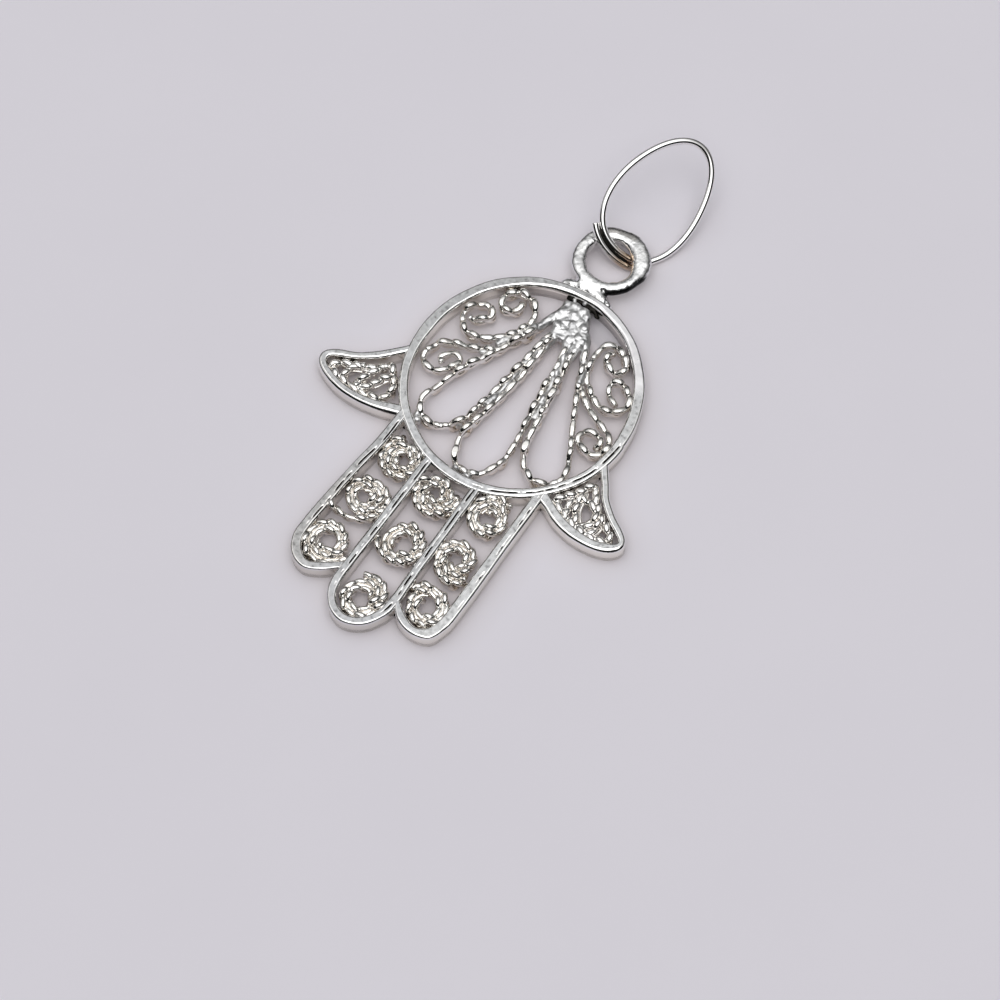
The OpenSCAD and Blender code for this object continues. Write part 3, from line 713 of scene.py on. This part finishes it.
# ---------------------------------------------------------------- the palm's filigree
petal_left = [(-1.42, 5.6), (-1.7, 4.9), (-2.0, 3.85), (-2.4, 3.0), (-3.0, 1.6), (-3.4, 0.7),
              (-3.85, -0.35), (-4.4, -1.45), (-4.78, -2.56), (-5.15, -3.75), (-5.32, -4.65), (-5.1, -5.3),
              (-4.65, -5.82), (-4.15, -6.07), (-3.55, -6.05), (-2.95, -5.77), (-2.4, -5.3), (-1.98, -4.65),
              (-1.75, -3.7), (-1.5, -2.3), (-1.27, -0.9), (-1.12, 0.2), (-0.95, 1.4), (-0.83, 2.65), (-0.68, 3.9),
              (-0.60, 4.7)]
petal_middle = [(-0.35, 4.6), (-0.38, 4.0), (-0.45, 2.5), (-0.52, 0.9), (-0.65, -0.75), (-0.87, -2.2),
                (-1.02, -3.25), (-1.2, -4.6), (-1.32, -5.6), (-1.15, -6.35), (-0.8, -7.1), (-0.38, -7.55),
                (0.1, -7.72), (0.65, -7.74), (1.2, -7.55), (1.68, -7.05), (2.05, -6.35), (2.27, -5.4),
                (2.31, -4.6), (2.22, -3.7), (2.05, -2.75), (1.83, -1.55), (1.62, -0.5), (1.42, 0.7),
                (1.28, 2.1), (1.05, 3.25), (0.84, 4.6)]
petal_right = [(1.42, 4.9), (1.62, 3.7), (2.0, 2.0), (2.2, 0.85), (2.38, -0.4), (2.7, -2.4),
               (2.85, -3.3), (3.05, -3.95), (3.3, -4.5), (3.75, -5.2), (4.3, -5.52), (4.85, -5.7),
               (5.4, -5.52), (5.95, -5.2), (6.38, -4.65), (6.5, -4.1), (6.33, -3.38), (6.0, -2.8), (5.6, -2.0),
               (5.1, -1.15), (4.65, -0.3), (4.3, 0.45), (3.9, 1.25), (3.45, 2.1), (3.05, 3.1), (2.58, 4.25),
               (2.18, 5.05)]
scroll_left = [(-3.75, 5.75), (-3.68, 5.2), (-4.0, 4.68), (-4.6, 4.5), (-5.05, 4.9), (-5.1, 5.55), (-4.5, 6.2),
               (-3.7, 6.32), (-2.9, 6.02), (-2.45, 5.25), (-2.45, 4.3), (-2.85, 3.3), (-3.45, 2.55), (-4.2, 1.92),
               (-5.0, 1.52), (-5.8, 1.48), (-6.45, 1.95), (-6.85, 2.72), (-6.62, 3.5), (-6.02, 4.1), (-5.4, 4.05),
               (-5.02, 3.6), (-5.35, 3.05), (-5.88, 2.66), (-6.3, 2.62)]
scroll_left_low = [(-3.2, 1.4), (-4.0, 0.98), (-4.8, 0.6), (-5.8, 0.26), (-6.45, -0.05), (-6.95, -0.5),
                   (-7.25, -1.2), (-7.25, -1.8), (-6.85, -2.28), (-6.3, -2.42), (-5.65, -2.22), (-5.15, -1.7),
                   (-4.85, -1.2), (-4.78, -0.75), (-5.0, -0.5), (-5.5, -0.48), (-5.95, -0.85), (-6.15, -1.3),
                   (-5.85, -1.6)]
scroll_right = [(3.95, 6.0), (3.75, 5.6), (3.95, 5.1), (4.45, 4.78), (5.0, 4.72), (5.35, 5.1), (5.28, 5.65),
                (4.8, 6.12), (4.2, 6.5), (3.58, 6.5), (3.1, 6.1), (2.93, 5.3), (3.05, 4.6), (3.25, 3.8),
                (3.55, 3.15), (4.05, 2.72), (4.65, 2.2), (5.35, 1.85), (6.15, 1.82), (6.82, 2.3), (7.15, 2.95),
                (6.95, 3.55), (6.4, 4.05), (5.78, 4.28), (5.25, 3.98), (5.25, 3.45), (5.72, 2.9), (6.38, 2.65)]
scroll_right_low = [(3.45, 2.5), (3.9, 2.1), (4.5, 1.6), (5.5, 1.05), (6.5, 0.7), (7.25, 0.3), (7.75, -0.25),
                    (7.8, -0.95), (7.38, -1.5), (6.78, -1.7), (6.1, -1.5), (5.65, -1.05), (5.78, -0.5),
                    (6.25, -0.22), (6.82, -0.22), (7.18, -0.6), (7.02, -1.0)]
fan = [twisted(cr(petal_left, 10), seed=11, phase=0.3, jit=2.0, rough=0.08),
       twisted(cr(petal_middle, 10), seed=12, phase=1.0, jit=2.0, rough=0.08),
       twisted(cr(petal_right, 10), seed=13, phase=0.0, jit=2.0, rough=0.08),
       twisted(cr(scroll_left, 10), pitch=2.05, width=0.57, lay=0.43, seed=14, jit=1.8, rough=0.06),
       twisted(cr(scroll_left_low, 10), pitch=2.05, width=0.57, lay=0.43, seed=15, jit=1.8, rough=0.06),
       twisted(cr(scroll_right, 10), pitch=2.05, width=0.57, lay=0.43, seed=16, jit=1.8, rough=0.06),
       twisted(cr(scroll_right_low, 10), pitch=2.05, width=0.57, lay=0.43, seed=17, jit=1.8, rough=0.06)]
V, F = join_parts(fan)
V[:, 2] = np.clip(V[:, 2], 0.12, 1.72)          # the wires were rolled flat before they were bent
make("petal_wires", V, F, M_WIRE, ("petal_fan",))

WEDGE = np.array([(-1.36, 7.62), (-0.54, 7.84), (0.71, 8.04), (1.30, 7.2), (1.94, 5.95), (2.01, 5.19), (1.0, 4.42),
                  (-0.21, 4.6), (-1.0, 5.6), (-1.40, 6.4)])
ROOTS = [([(-1.0, 6.6, .95), (-1.42, 5.6, .9), (-1.7, 4.9, .88), (-2.0, 3.9, .86)], [.42, .36, .30, .20]),
         ([(-0.3, 5.2, .9), (-0.38, 4.0, .88), (-0.44, 3.0, .86)], [.40, .30, .20]),
         ([(-0.5, 5.2, .9), (-0.66, 4.1, .86)], [.36, .2]), ([(0.7, 5.2, .9), (0.88, 4.3, .88), (1.1, 3.2, .86)], [.42, .32, .20]),
         ([(1.4, 5.4, .9), (1.52, 4.4, .88), (1.7, 3.4, .86)], [.42, .32, .2]),
         ([(1.6, 5.9, .95), (2.1, 5.15, .88), (2.55, 4.3, .86)], [.40, .34, .22])]
SPOTS = [(-2.3, 4.1, 0.85, 0.34, 0.4, 0.42), (-2.75, 3.2, 0.85, 0.3, 0.4, 0.4), (2.95, 3.95, 0.85, 0.3, 0.4, 0.4),
         (3.3, 3.1, 0.85, 0.28, 0.4, 0.4), (-4.85, -5.95, 0.9, 0.30, 0.42, 0.40), (-4.62, -6.38, 0.84, 0.34, 0.30, 0.40),
         (-0.15, -7.92, 0.86, 0.36, 0.26, 0.42), (0.85, -8.0, 0.84, 0.46, 0.26, 0.40), (-2.0, -4.9, 0.8, 0.25, 0.35, 0.4)]


def d_outline(P, poly):
    """Signed distance in the plane to a closed outline."""
    n = len(poly)
    best = np.full(len(P), 9.0)
    inside = np.zeros(len(P), bool)
    for i in range(n):
        a, b = poly[i], poly[(i + 1) % n]
        ab = b - a
        t = np.clip(((P[:, :2] - a) @ ab) / (ab @ ab), 0, 1)
        best = np.minimum(best, np.linalg.norm(P[:, :2] - a - t[:, None] * ab, axis=1))
        hit = (a[1] > P[:, 1]) != (b[1] > P[:, 1])
        xx = a[0] + (P[:, 1] - a[1]) * ab[0] / (ab[1] if ab[1] else 1e-9)
        inside ^= hit & (P[:, 0] < xx)
    return np.where(inside, -best, best)


BEADS = [(-0.98, 7.42, .34), (-0.38, 7.55, .42), (0.35, 7.55, .36), (0.80, 7.25, .32), (-0.80, 6.80, .30),
         (-0.05, 6.90, .44), (0.62, 6.62, .32), (1.20, 6.35, .36), (-0.95, 6.15, .36), (-0.30, 6.05, .30),
         (0.30, 6.15, .36), (-0.62, 5.50, .34), (0.10, 5.35, .38), (0.80, 5.75, .30), (1.15, 5.45, .34),
         (1.68, 5.45, .32), (0.05, 4.85, .28), (0.78, 4.95, .32), (-0.75, 8.0, .17), (0.02, 8.12, .18), (0.62, 8.10, .16)]
# solder that has run between wires that touch: rows x, y along each seam, with its radius
RUNS = [([(-0.62, 4.6), (-0.66, 3.4), (-0.72, 2.2), (-0.80, 1.0), (-0.92, -0.2), (-1.06, -1.4), (-1.24, -2.5)], .23),
        ([(0.98, 4.6), (1.22, 3.4), (1.55, 2.1), (1.78, 0.8), (1.98, -0.4), (2.2, -1.5)], .24),
        ([(2.35, 4.6), (2.75, 3.9), (3.15, 3.1), (3.35, 2.6)], .24), ([(-1.9, 4.5), (-2.45, 3.6), (-2.95, 2.6), (-3.3, 1.9)], .24),
        ([(-3.3, 1.3), (-3.9, 0.75)], .18)]


def wedge_field(P):
    d2 = d_outline(P, WEDGE)
    lump = 0.07 * vnoise(P * [1, 1, 0.3], 1.25, 8) + 0.05 * vnoise(P * [1, 1, 0.4], 2.4, 9)
    half = 0.34 + 0.14 * np.sqrt(np.clip(-d2, 0, 0.6) / 0.6) + lump
    d = -smin(-(d2 + 0.14 + 0.8 * lump), -(np.abs(P[:, 2] - 0.84) - half), 0.22)
    for k, (x, y, r) in enumerate(BEADS):
        z = 1.02 + 0.06 * ((k * 5) % 4)
        d = smin(d, d_ball(P, (x, y, z), (r, r * 0.9, r * 0.85)), 0.20)
    for pts, r in ROOTS:
        d = smin(d, d_line(P, pts, r), 0.16)
    d += 0.034 * vnoise(P, 2.7, 10) + 0.028 * vnoise(P, 6.5, 12)
    return d


V, F = level_set(wedge_field, (-2.5, 2.6, 0.1), (3.0, 8.5, 1.75), 0.05)
parts = [(V, [tuple(f) for f in F])]
for k, (cx, cy, cz, rx, ry, rz) in enumerate(SPOTS):
    V, F = level_set(lambda P: d_ball(P, (cx, cy, cz), (rx, ry, rz)) + 0.05 * vnoise(P, 2.2, 11 + k),
                     (cx - 0.8, cy - 0.8, 0.1), (cx + 0.8, cy + 0.8, 1.6), 0.05)
    parts.append((V, [tuple(f) for f in F]))
for k, (way, r) in enumerate(RUNS):
    Q = np.array(way)
    V, F = level_set(lambda P: d_line(P, np.column_stack([Q, np.full(len(Q), 1.0)]), r + 0.04)
                     + 0.14 * vnoise(P, 1.4, 60 + k) + 0.06 * vnoise(P, 3.4, 70 + k),
                     (*(Q.min(0) - 0.6), 0.3), (*(Q.max(0) + 0.6), 1.65), 0.06)
    parts.append((V, [tuple(f) for f in F]))
V, F = join_parts(parts)
make("solder_fan", V, F, M_SOLDER)


def joint_field(P):
    """Solder in the gap between the cluster and the palm ring, lower than both; its near-black colour is painted shade
    of that crevice.
    """
    d = d_line(P, [(-1.30, 7.98, 0.92), (-0.7, 8.10, 1.0), (0.0, 8.14, 1.0), (0.7, 8.08, 0.96), (1.3, 7.84, 0.86)],
               [0.12, 0.19, 0.20, 0.20, 0.12])
    return d + 0.10 * vnoise(P, 2.9, 14) + 0.06 * vnoise(P, 6.5, 15)


V, F = level_set(joint_field, (-1.8, 7.5, 0.4), (1.8, 8.6, 1.5), 0.045)
make("solder_joint", V, F, M_SEAM_AND_SHADE)

# ---------------------------------------------------------------- coils in the fingers
PITCH_R = 0.50


def coil_path(x, y, R, turns, a0, d, squash=0.0, tilt=0.0, seed=0, tail=None, w=0.40):
    pts = []
    n = int(turns * 40)
    r0 = np.random.default_rng(seed)
    p1, p2 = r0.uniform(0, 6.28, 2)
    for i in range(n + 1):
        k = i / 40
        f = k - math.floor(k)
        u = max(0.0, f - 0.5) / 0.5
        st = math.floor(k) + u * u * (3 - 2 * u)
        rr = R - w / 2 - PITCH_R * st
        a = math.radians(a0) + d * 2 * math.pi * k
        rr *= 1 + 0.03 * math.sin(2 * a + p1) + 0.02 * math.sin(3 * a + p2)
        q = 1 + squash * math.cos(2 * (a - tilt)) * (0.3 + 0.7 * st / max(turns, 1))
        pts.append((x + rr * q * math.cos(a), y + rr * q * math.sin(a)))
    if tail:
        pts = [tuple(t) for t in tail] + pts
    return pts


coils = {   # x, y, outer radius, turns, angle of the outer end, way it winds, free length before it
    "coil_left_upper": (-3.74, -9.52, 1.60, 2.3, 165, 1, [(-4.50, -8.1), (-4.95, -8.65)]),
    "coil_left_middle": (-3.88, -13.42, 1.66, 2.35, 340, 1, [(-5.72, -15.18), (-5.3, -15.28), (-4.7, -15.36),
                         (-4.0, -15.26), (-3.35, -15.0), (-2.86, -14.6)]),
    "coil_left_tip": (-4.10, -17.68, 1.80, 2.35, 350, -1, None),
    "coil_middle_upper": (0.04, -10.50, 1.72, 2.5, 30, -1, None),
    "coil_middle_centre": (0.24, -14.82, 1.58, 1.65, 345, 1, [(-1.60, -15.30), (-1.30, -15.85), (-0.8, -16.2),
                           (-0.2, -16.42), (0.45, -16.36), (1.05, -16.05), (1.42, -15.65)]),
    "coil_middle_tip": (0.12, -19.62, 1.78, 2.3, 120, -1, None),
    "coil_right_upper": (4.08, -9.72, 1.70, 2.25, 60, 1, None),
    "coil_right_middle": (4.12, -13.90, 1.70, 2.3, 330, -1, None),
    "coil_right_tip": (4.14, -17.78, 1.70, 2.05, 160, -1, None)}
for i, (nm, (x, y, R, tr, a0, d, tail)) in enumerate(coils.items()):
    P = coil_path(x, y, R, tr, a0, d, squash=0.05, tilt=0.7 * i, seed=i, tail=tail)
    P, _, _ = resample(np.array(P), step=0.06)
    made = [twisted(P, pitch=1.6, width=0.62, height=0.94, zc=0.88, seed=40 + i, phase=0.8 * i, per=22, jit=2.0,
                    full=2.3, lay=0.345, rough=0.13)]
    # solder that has run between the turns
    G = coil_path(x, y, R - 0.25, tr - 0.9, a0, d, squash=0.05, tilt=0.7 * i, seed=i)
    G, gs, _ = resample(np.array(G), step=0.08)
    gr = 0.18 + 0.06 * wob(gs, 90 + i, 0.6)
    GT = tangents(G, False)
    made.append(tube(np.column_stack([G, 0.84 + 0.06 * wob(gs, 95 + i, 0.5)]), np.column_stack([-GT[:, 1], GT[:, 0], 0 * gs]),
                     np.tile([0.0, 0.0, 1.0], (len(G), 1)), gr, 8))
    V, F = join_parts(made)
    make(nm + "_wire", V, F, M_COIL, (nm,))

# ---------------------------------------------------------------- thumb filigree
thumb_loop_left = [(-8.72, -3.98), (-9.45, -4.62), (-10.25, -5.12), (-11.05, -5.42), (-11.75, -5.76), (-12.1, -6.18),
                   (-11.78, -6.56), (-10.9, -6.74), (-9.95, -6.82), (-9.0, -6.82), (-8.2, -6.68), (-7.62, -6.28),
                   (-7.44, -5.68), (-7.6, -5.0), (-8.0, -4.5), (-8.3, -4.1)]
thumb_ties_left = [[(-8.0, -4.5), (-8.5, -5.25), (-8.8, -5.9), (-9.2, -6.4), (-9.6, -6.8)],
                   [(-8.95, -4.25), (-9.4, -5.1), (-9.62, -5.9), (-9.75, -6.75)],
                   [(-10.1, -5.05), (-10.7, -5.45), (-10.95, -5.95), (-10.95, -6.65)]]
thumb_loop_right = [(8.75, -3.5), (9.3, -4.28), (9.88, -4.88), (10.55, -5.38), (11.15, -5.78), (11.65, -6.1),
                    (11.9, -6.45), (11.65, -6.82), (11.05, -6.98), (10.3, -7.03), (9.6, -6.99), (8.9, -6.83),
                    (8.2, -6.57), (7.55, -6.33), (7.15, -6.05), (7.45, -5.5), (7.9, -4.9), (8.3, -4.3)]
thumb_ties_right = [[(8.3, -4.35), (8.5, -5.2), (8.65, -5.8), (9.0, -6.35), (9.55, -6.95)],
                    [(8.5, -4.85), (9.4, -4.95), (10.0, -5.3), (10.25, -5.9), (10.05, -6.5), (9.6, -6.95)],
                    [(7.95, -4.95), (8.05, -5.7), (8.25, -6.55)],
                    [(10.4, -5.4), (10.65, -6.2), (10.45, -7.0)]]
for nm, loop, ties, sd in (("thumb_scroll_left", thumb_loop_left, thumb_ties_left, 70),
                           ("thumb_scroll_right", thumb_loop_right, thumb_ties_right, 80)):
    ps = [twisted(cr(loop, 10, True), closed=True, pitch=1.7, width=0.68, height=1.02, zc=0.86, seed=sd,
                  full=2.4, lay=0.36, rough=0.07, jit=1.5)]
    for k, t in enumerate(ties):
        ps.append(twisted(cr(t, 10), pitch=1.7, width=0.66, height=1.0, zc=0.88, seed=sd + 1 + k, phase=k,
                          full=2.4, lay=0.36, rough=0.07, jit=1.5))
        G, gs, _ = resample(cr(t, 10) + 0.30 * np.array([math.cos(2.1 * k + 0.4), math.sin(2.1 * k + 0.4)]), step=0.08)
        GT = tangents(G, False)
        ps.append(tube(np.column_stack([G, 0.80 + 0.08 * wob(gs, 195 + k, 0.5)]),
                       np.column_stack([-GT[:, 1], GT[:, 0], 0 * gs]), np.tile([0.0, 0.0, 1.0], (len(G), 1)),
                       0.17 + 0.06 * wob(gs, 190 + k, 0.6), 8))
    V, F = join_parts(ps)
    make(nm + "_wire", V, F, M_THUMB_LIT, (nm,))

# ---------------------------------------------------------------- the jump ring
gx, gy = -0.5475, 0.3641
n3 = np.array([-gx, -gy, 1.0]); n3 /= np.linalg.norm(n3)
u0 = np.array([1, 0, gx]); u0 /= np.linalg.norm(u0)
w0 = np.cross(n3, u0)
psi = math.radians(93.03)
U = math.cos(psi) * u0 + math.sin(psi) * w0
W = -math.sin(psi) * u0 + math.cos(psi) * w0


def ring_at(t):
    k = 1 + 0.0431 * np.cos(3 * t) - 0.0082 * np.sin(3 * t) - 0.0061 * np.cos(4 * t)
    return (np.array([-0.006, 17.669, 2.463]) + (4.945 * k * np.cos(t))[:, None] * U
            + (3.317 * k * np.sin(t))[:, None] * W)


def ring_way(deg):
    """The wire's line; its first end lies beside the ring and then crosses over into its line."""
    t = np.radians(deg)
    o = np.cross(ring_at(t + 0.01) - ring_at(t - 0.01), n3)
    o /= np.linalg.norm(o, axis=1, keepdims=True)
    u = np.clip((deg - 200) / 28, 0, 1)
    return ring_at(t) + o * (0.55 * (1 - u * u * (3 - 2 * u)))[:, None]


def painted_shade_near(mat, point, radius, color):
    """Browns a metal around one point, a painted shade."""
    nt = mat.node_tree
    b = next(n for n in nt.nodes if n.type == "BSDF_PRINCIPLED")
    src = b.inputs["Base Color"].links[0].from_socket
    tc = nt.nodes.new("ShaderNodeTexCoord")
    vd = nt.nodes.new("ShaderNodeVectorMath")
    vd.operation = "DISTANCE"
    vd.inputs[1].default_value = Vector(point) * MM
    nt.links.new(tc.outputs["Object"], vd.inputs[0])
    mr = nt.nodes.new("ShaderNodeMapRange")
    mr.inputs["From Min"].default_value = radius * MM
    mr.inputs["From Max"].default_value = radius * 0.3 * MM
    nt.links.new(vd.outputs["Value"], mr.inputs["Value"])
    mx = nt.nodes.new("ShaderNodeMix")
    mx.data_type = "RGBA"
    nt.links.new(mr.outputs["Result"], mx.inputs[0])
    nt.links.new(src, mx.inputs[6])
    mx.inputs[7].default_value = (*color, 1)
    nt.links.new(mx.outputs[2], b.inputs["Base Color"])


# painted shade on the jump ring inside the eye's hole, under the eye's rim
painted_shade_near(M_RING, (0.35, 12.95, 0.75), 1.6, (0.52, 0.40, 0.30))
deg = np.linspace(139, 562, 424)
Q = ring_way(deg)
T = tangents(Q, False)
e1 = np.cross(T, n3)
e1 /= np.linalg.norm(e1, axis=1, keepdims=True)
e2 = np.tile(n3, (len(Q), 1))
rad = np.full(len(Q), 0.27)
Q = np.vstack([Q[0] - T[0] * 0.03, Q, Q[-1] + T[-1] * 0.03])
e1 = np.vstack([e1[:1], e1, e1[-1:]])
e2 = np.vstack([e2[:1], e2, e2[-1:]])
rad = np.concatenate([[0.23], rad, [0.23]])
V, F = tube(Q, e1, e2, rad)
make("jump_ring_wire", V, F, M_RING, ("jump_ring",))

# a near-black tube in the crevice between the lapped ends: painted shade of that gap
deg = np.linspace(142, 199, 58)
t = np.radians(deg)
o = np.cross(ring_at(t + 0.01) - ring_at(t - 0.01), n3)
o /= np.linalg.norm(o, axis=1, keepdims=True)
Q = ring_at(t) + o * 0.275 + n3 * 0.075
T = tangents(Q, False)
e1 = np.cross(T, n3)
e1 /= np.linalg.norm(e1, axis=1, keepdims=True)
u = np.clip(np.minimum(deg - 142, 199 - deg) / 9, 0.05, 1)
V, F = tube(Q, e1, np.tile(n3, (len(Q), 1)), 0.185 * u * (2 - u))
make("jump_ring_crevice_shade", V, F, M_SEAM_AND_SHADE, ("jump_ring",))

# ---------------------------------------------------------------- floor, light and camera
fl = bpy.data.meshes.new("floor")
S = 1.2
fl.from_pydata([(-S, -S, 0), (S, -S, 0), (S, S, 0), (-S, S, 0)], [], [(0, 1, 2, 3)])
floor = bpy.data.objects.new("floor", fl)
floor.location.z = -0.00001
scene.collection.objects.link(floor)
fm = bpy.data.materials.new("floor_card")
fm.use_nodes = True
nt = fm.node_tree
bs = nt.nodes["Principled BSDF"]
bs.inputs["Roughness"].default_value = 0.75
bs.inputs["Emission Color"].default_value = (0.637, 0.617, 0.665, 1)
bs.inputs["Emission Strength"].default_value = 0.08
bs.inputs["Specular IOR Level"].default_value = 0.25
tc = nt.nodes.new("ShaderNodeTexCoord")
nz = nt.nodes.new("ShaderNodeTexNoise")
nz.inputs["Scale"].default_value = 60.0
nz.inputs["Detail"].default_value = 4.0
cm = nt.nodes.new("ShaderNodeValToRGB")
cm.color_ramp.elements[0].position = 0.3
cm.color_ramp.elements[0].color = (0.745, 0.720, 0.778, 1)
cm.color_ramp.elements[1].position = 0.7
cm.color_ramp.elements[1].color = (0.758, 0.733, 0.791, 1)
nt.links.new(tc.outputs["Object"], nz.inputs["Vector"])
nt.links.new(nz.outputs["Fac"], cm.inputs["Fac"])
ao = nt.nodes.new("ShaderNodeAmbientOcclusion")     # painted shade: the paper is made a little darker and warmer close to the metal
ao.samples = 12
ao.inputs["Distance"].default_value = 0.0024
am = nt.nodes.new("ShaderNodeValToRGB")
am.color_ramp.elements[0].position = 0.30
am.color_ramp.elements[0].color = (0.86, 0.83, 0.79, 1)
am.color_ramp.elements[1].position = 1.0
am.color_ramp.elements[1].color = (1, 1, 1, 1)
nt.links.new(ao.outputs["AO"], am.inputs["Fac"])
mu = nt.nodes.new("ShaderNodeMix")
mu.data_type = "RGBA"
mu.blend_type = "MULTIPLY"
mu.inputs[0].default_value = 1.0
nt.links.new(cm.outputs["Color"], mu.inputs[6])
nt.links.new(am.outputs["Color"], mu.inputs[7])
nt.links.new(mu.outputs[2], bs.inputs["Base Color"])
# painted shadow on the floor inside the palm ring, beside the wedge
shade(fm, (0, 0), 76, 22, (-2, -1, 1, 2), (6.2, 7.3, 8.2, 8.6), (0.52, 0.495, 0.525))
fl.materials.append(fm)

cam_pos = Vector((55.11, -82.54, 191.30)) * MM
aim = Vector((3.96, -8.40, 1.45)) * MM
cd = bpy.data.cameras.new("camera")
cd.lens = 108.0
cd.sensor_width = 36.0
cd.clip_start = 0.005
cd.clip_end = 10.0
cam = bpy.data.objects.new("camera", cd)
scene.collection.objects.link(cam)
cam.location = cam_pos
cam.rotation_euler = (aim - cam_pos).to_track_quat("-Z", "Y").to_euler()
scene.camera = cam

# directions in the picture's sense: right, and away from the viewer along the floor
right = Vector((0.82314, 0.56784, 0.0))
away = Vector((-0.56784, 0.82314, 0.0))


sun = bpy.data.lights.new("key", "SUN")
sun.energy = 0.20
sun.angle = math.radians(50)
sun.color = (1.0, 0.99, 0.98)
so = bpy.data.objects.new("key", sun)
so.rotation_euler = (right * 0.85 - away * 0.35 - Vector((0, 0, 1.0))).to_track_quat("-Z", "Y").to_euler()
so.location = (0, 0, 0.3)
scene.collection.objects.link(so)

# a bright sky that falls off towards the horizon, with a broad dark patch on the viewer's side
world = bpy.data.worlds.new("studio")
scene.world = world
world.use_nodes = True
wn = world.node_tree
wn.nodes.clear()
wo = wn.nodes.new("ShaderNodeOutputWorld")
bg = wn.nodes.new("ShaderNodeBackground")
wn.links.new(bg.outputs[0], wo.inputs[0])
wt = wn.nodes.new("ShaderNodeTexCoord")
sep = wn.nodes.new("ShaderNodeSeparateXYZ")
wn.links.new(wt.outputs["Generated"], sep.inputs[0])
sky = wn.nodes.new("ShaderNodeValToRGB")   # by the sine of the elevation
SKY = ((0.0, 0.10), (0.30, 0.15), (0.50, 0.30), (0.70, 0.62), (0.86, 0.84), (0.93, 1.05), (0.97, 1.45), (1.0, 1.6))
while len(sky.color_ramp.elements) > 1:
    sky.color_ramp.elements.remove(sky.color_ramp.elements[-1])
for k, (p, c) in enumerate(SKY):
    e = sky.color_ramp.elements[0] if k == 0 else sky.color_ramp.elements.new(p)
    e.position = p
    e.color = (c, c, c, 1)
wn.links.new(sep.outputs["Z"], sky.inputs["Fac"])


def step_of(value, lo, hi, to_lo, to_hi):
    """A smooth step of a socket's value."""
    r = wn.nodes.new("ShaderNodeMapRange")
    r.interpolation_type = "SMOOTHSTEP"
    for nm, v in (("From Min", lo), ("From Max", hi), ("To Min", to_lo), ("To Max", to_hi)):
        r.inputs[nm].default_value = v
    wn.links.new(value, r.inputs["Value"])
    return r.outputs["Result"]


def times(a, b):
    r = wn.nodes.new("ShaderNodeMath")
    r.operation = "MULTIPLY"
    wn.links.new(a, r.inputs[0])
    wn.links.new(b, r.inputs[1])
    return r.outputs[0]


dot = wn.nodes.new("ShaderNodeVectorMath")
dot.operation = "DOT_PRODUCT"
dot.inputs[1].default_value = -away
wn.links.new(wt.outputs["Generated"], dot.inputs[0])
side = step_of(dot.outputs["Value"], 0.02, 0.22, 0.0, 1.0)
low = step_of(sep.outputs["Z"], math.sin(math.radians(44)), math.sin(math.radians(52)), 0.97, 0.0)
lat = wn.nodes.new("ShaderNodeVectorMath")
lat.operation = "DOT_PRODUCT"
lat.inputs[1].default_value = right
wn.links.new(wt.outputs["Generated"], lat.inputs[0])
narrow = step_of(times(lat.outputs["Value"], lat.outputs["Value"]), 0.04, 0.40, 1.0, 0.38)   # dimmer to both sides
lean = wn.nodes.new("ShaderNodeMath")     # brighter above the viewer than beyond the pendant
lean.operation = "MULTIPLY_ADD"
lean.inputs[1].default_value = 0.75
lean.inputs[2].default_value = 1.0
wn.links.new(dot.outputs["Value"], lean.inputs[0])
inv = wn.nodes.new("ShaderNodeMath")
inv.operation = "SUBTRACT"
inv.inputs[0].default_value = 1.0
wn.links.new(times(side, low), inv.inputs[1])
mul = wn.nodes.new("ShaderNodeVectorMath")
mul.operation = "SCALE"
wn.links.new(sky.outputs["Color"], mul.inputs[0])
wn.links.new(times(times(inv.outputs[0], narrow), lean.outputs[0]), mul.inputs["Scale"])
wn.links.new(mul.outputs["Vector"], bg.inputs["Color"])
bg.inputs["Strength"].default_value = 1.64

scene.view_settings.view_transform = "Standard"
scene.view_settings.look = "None"
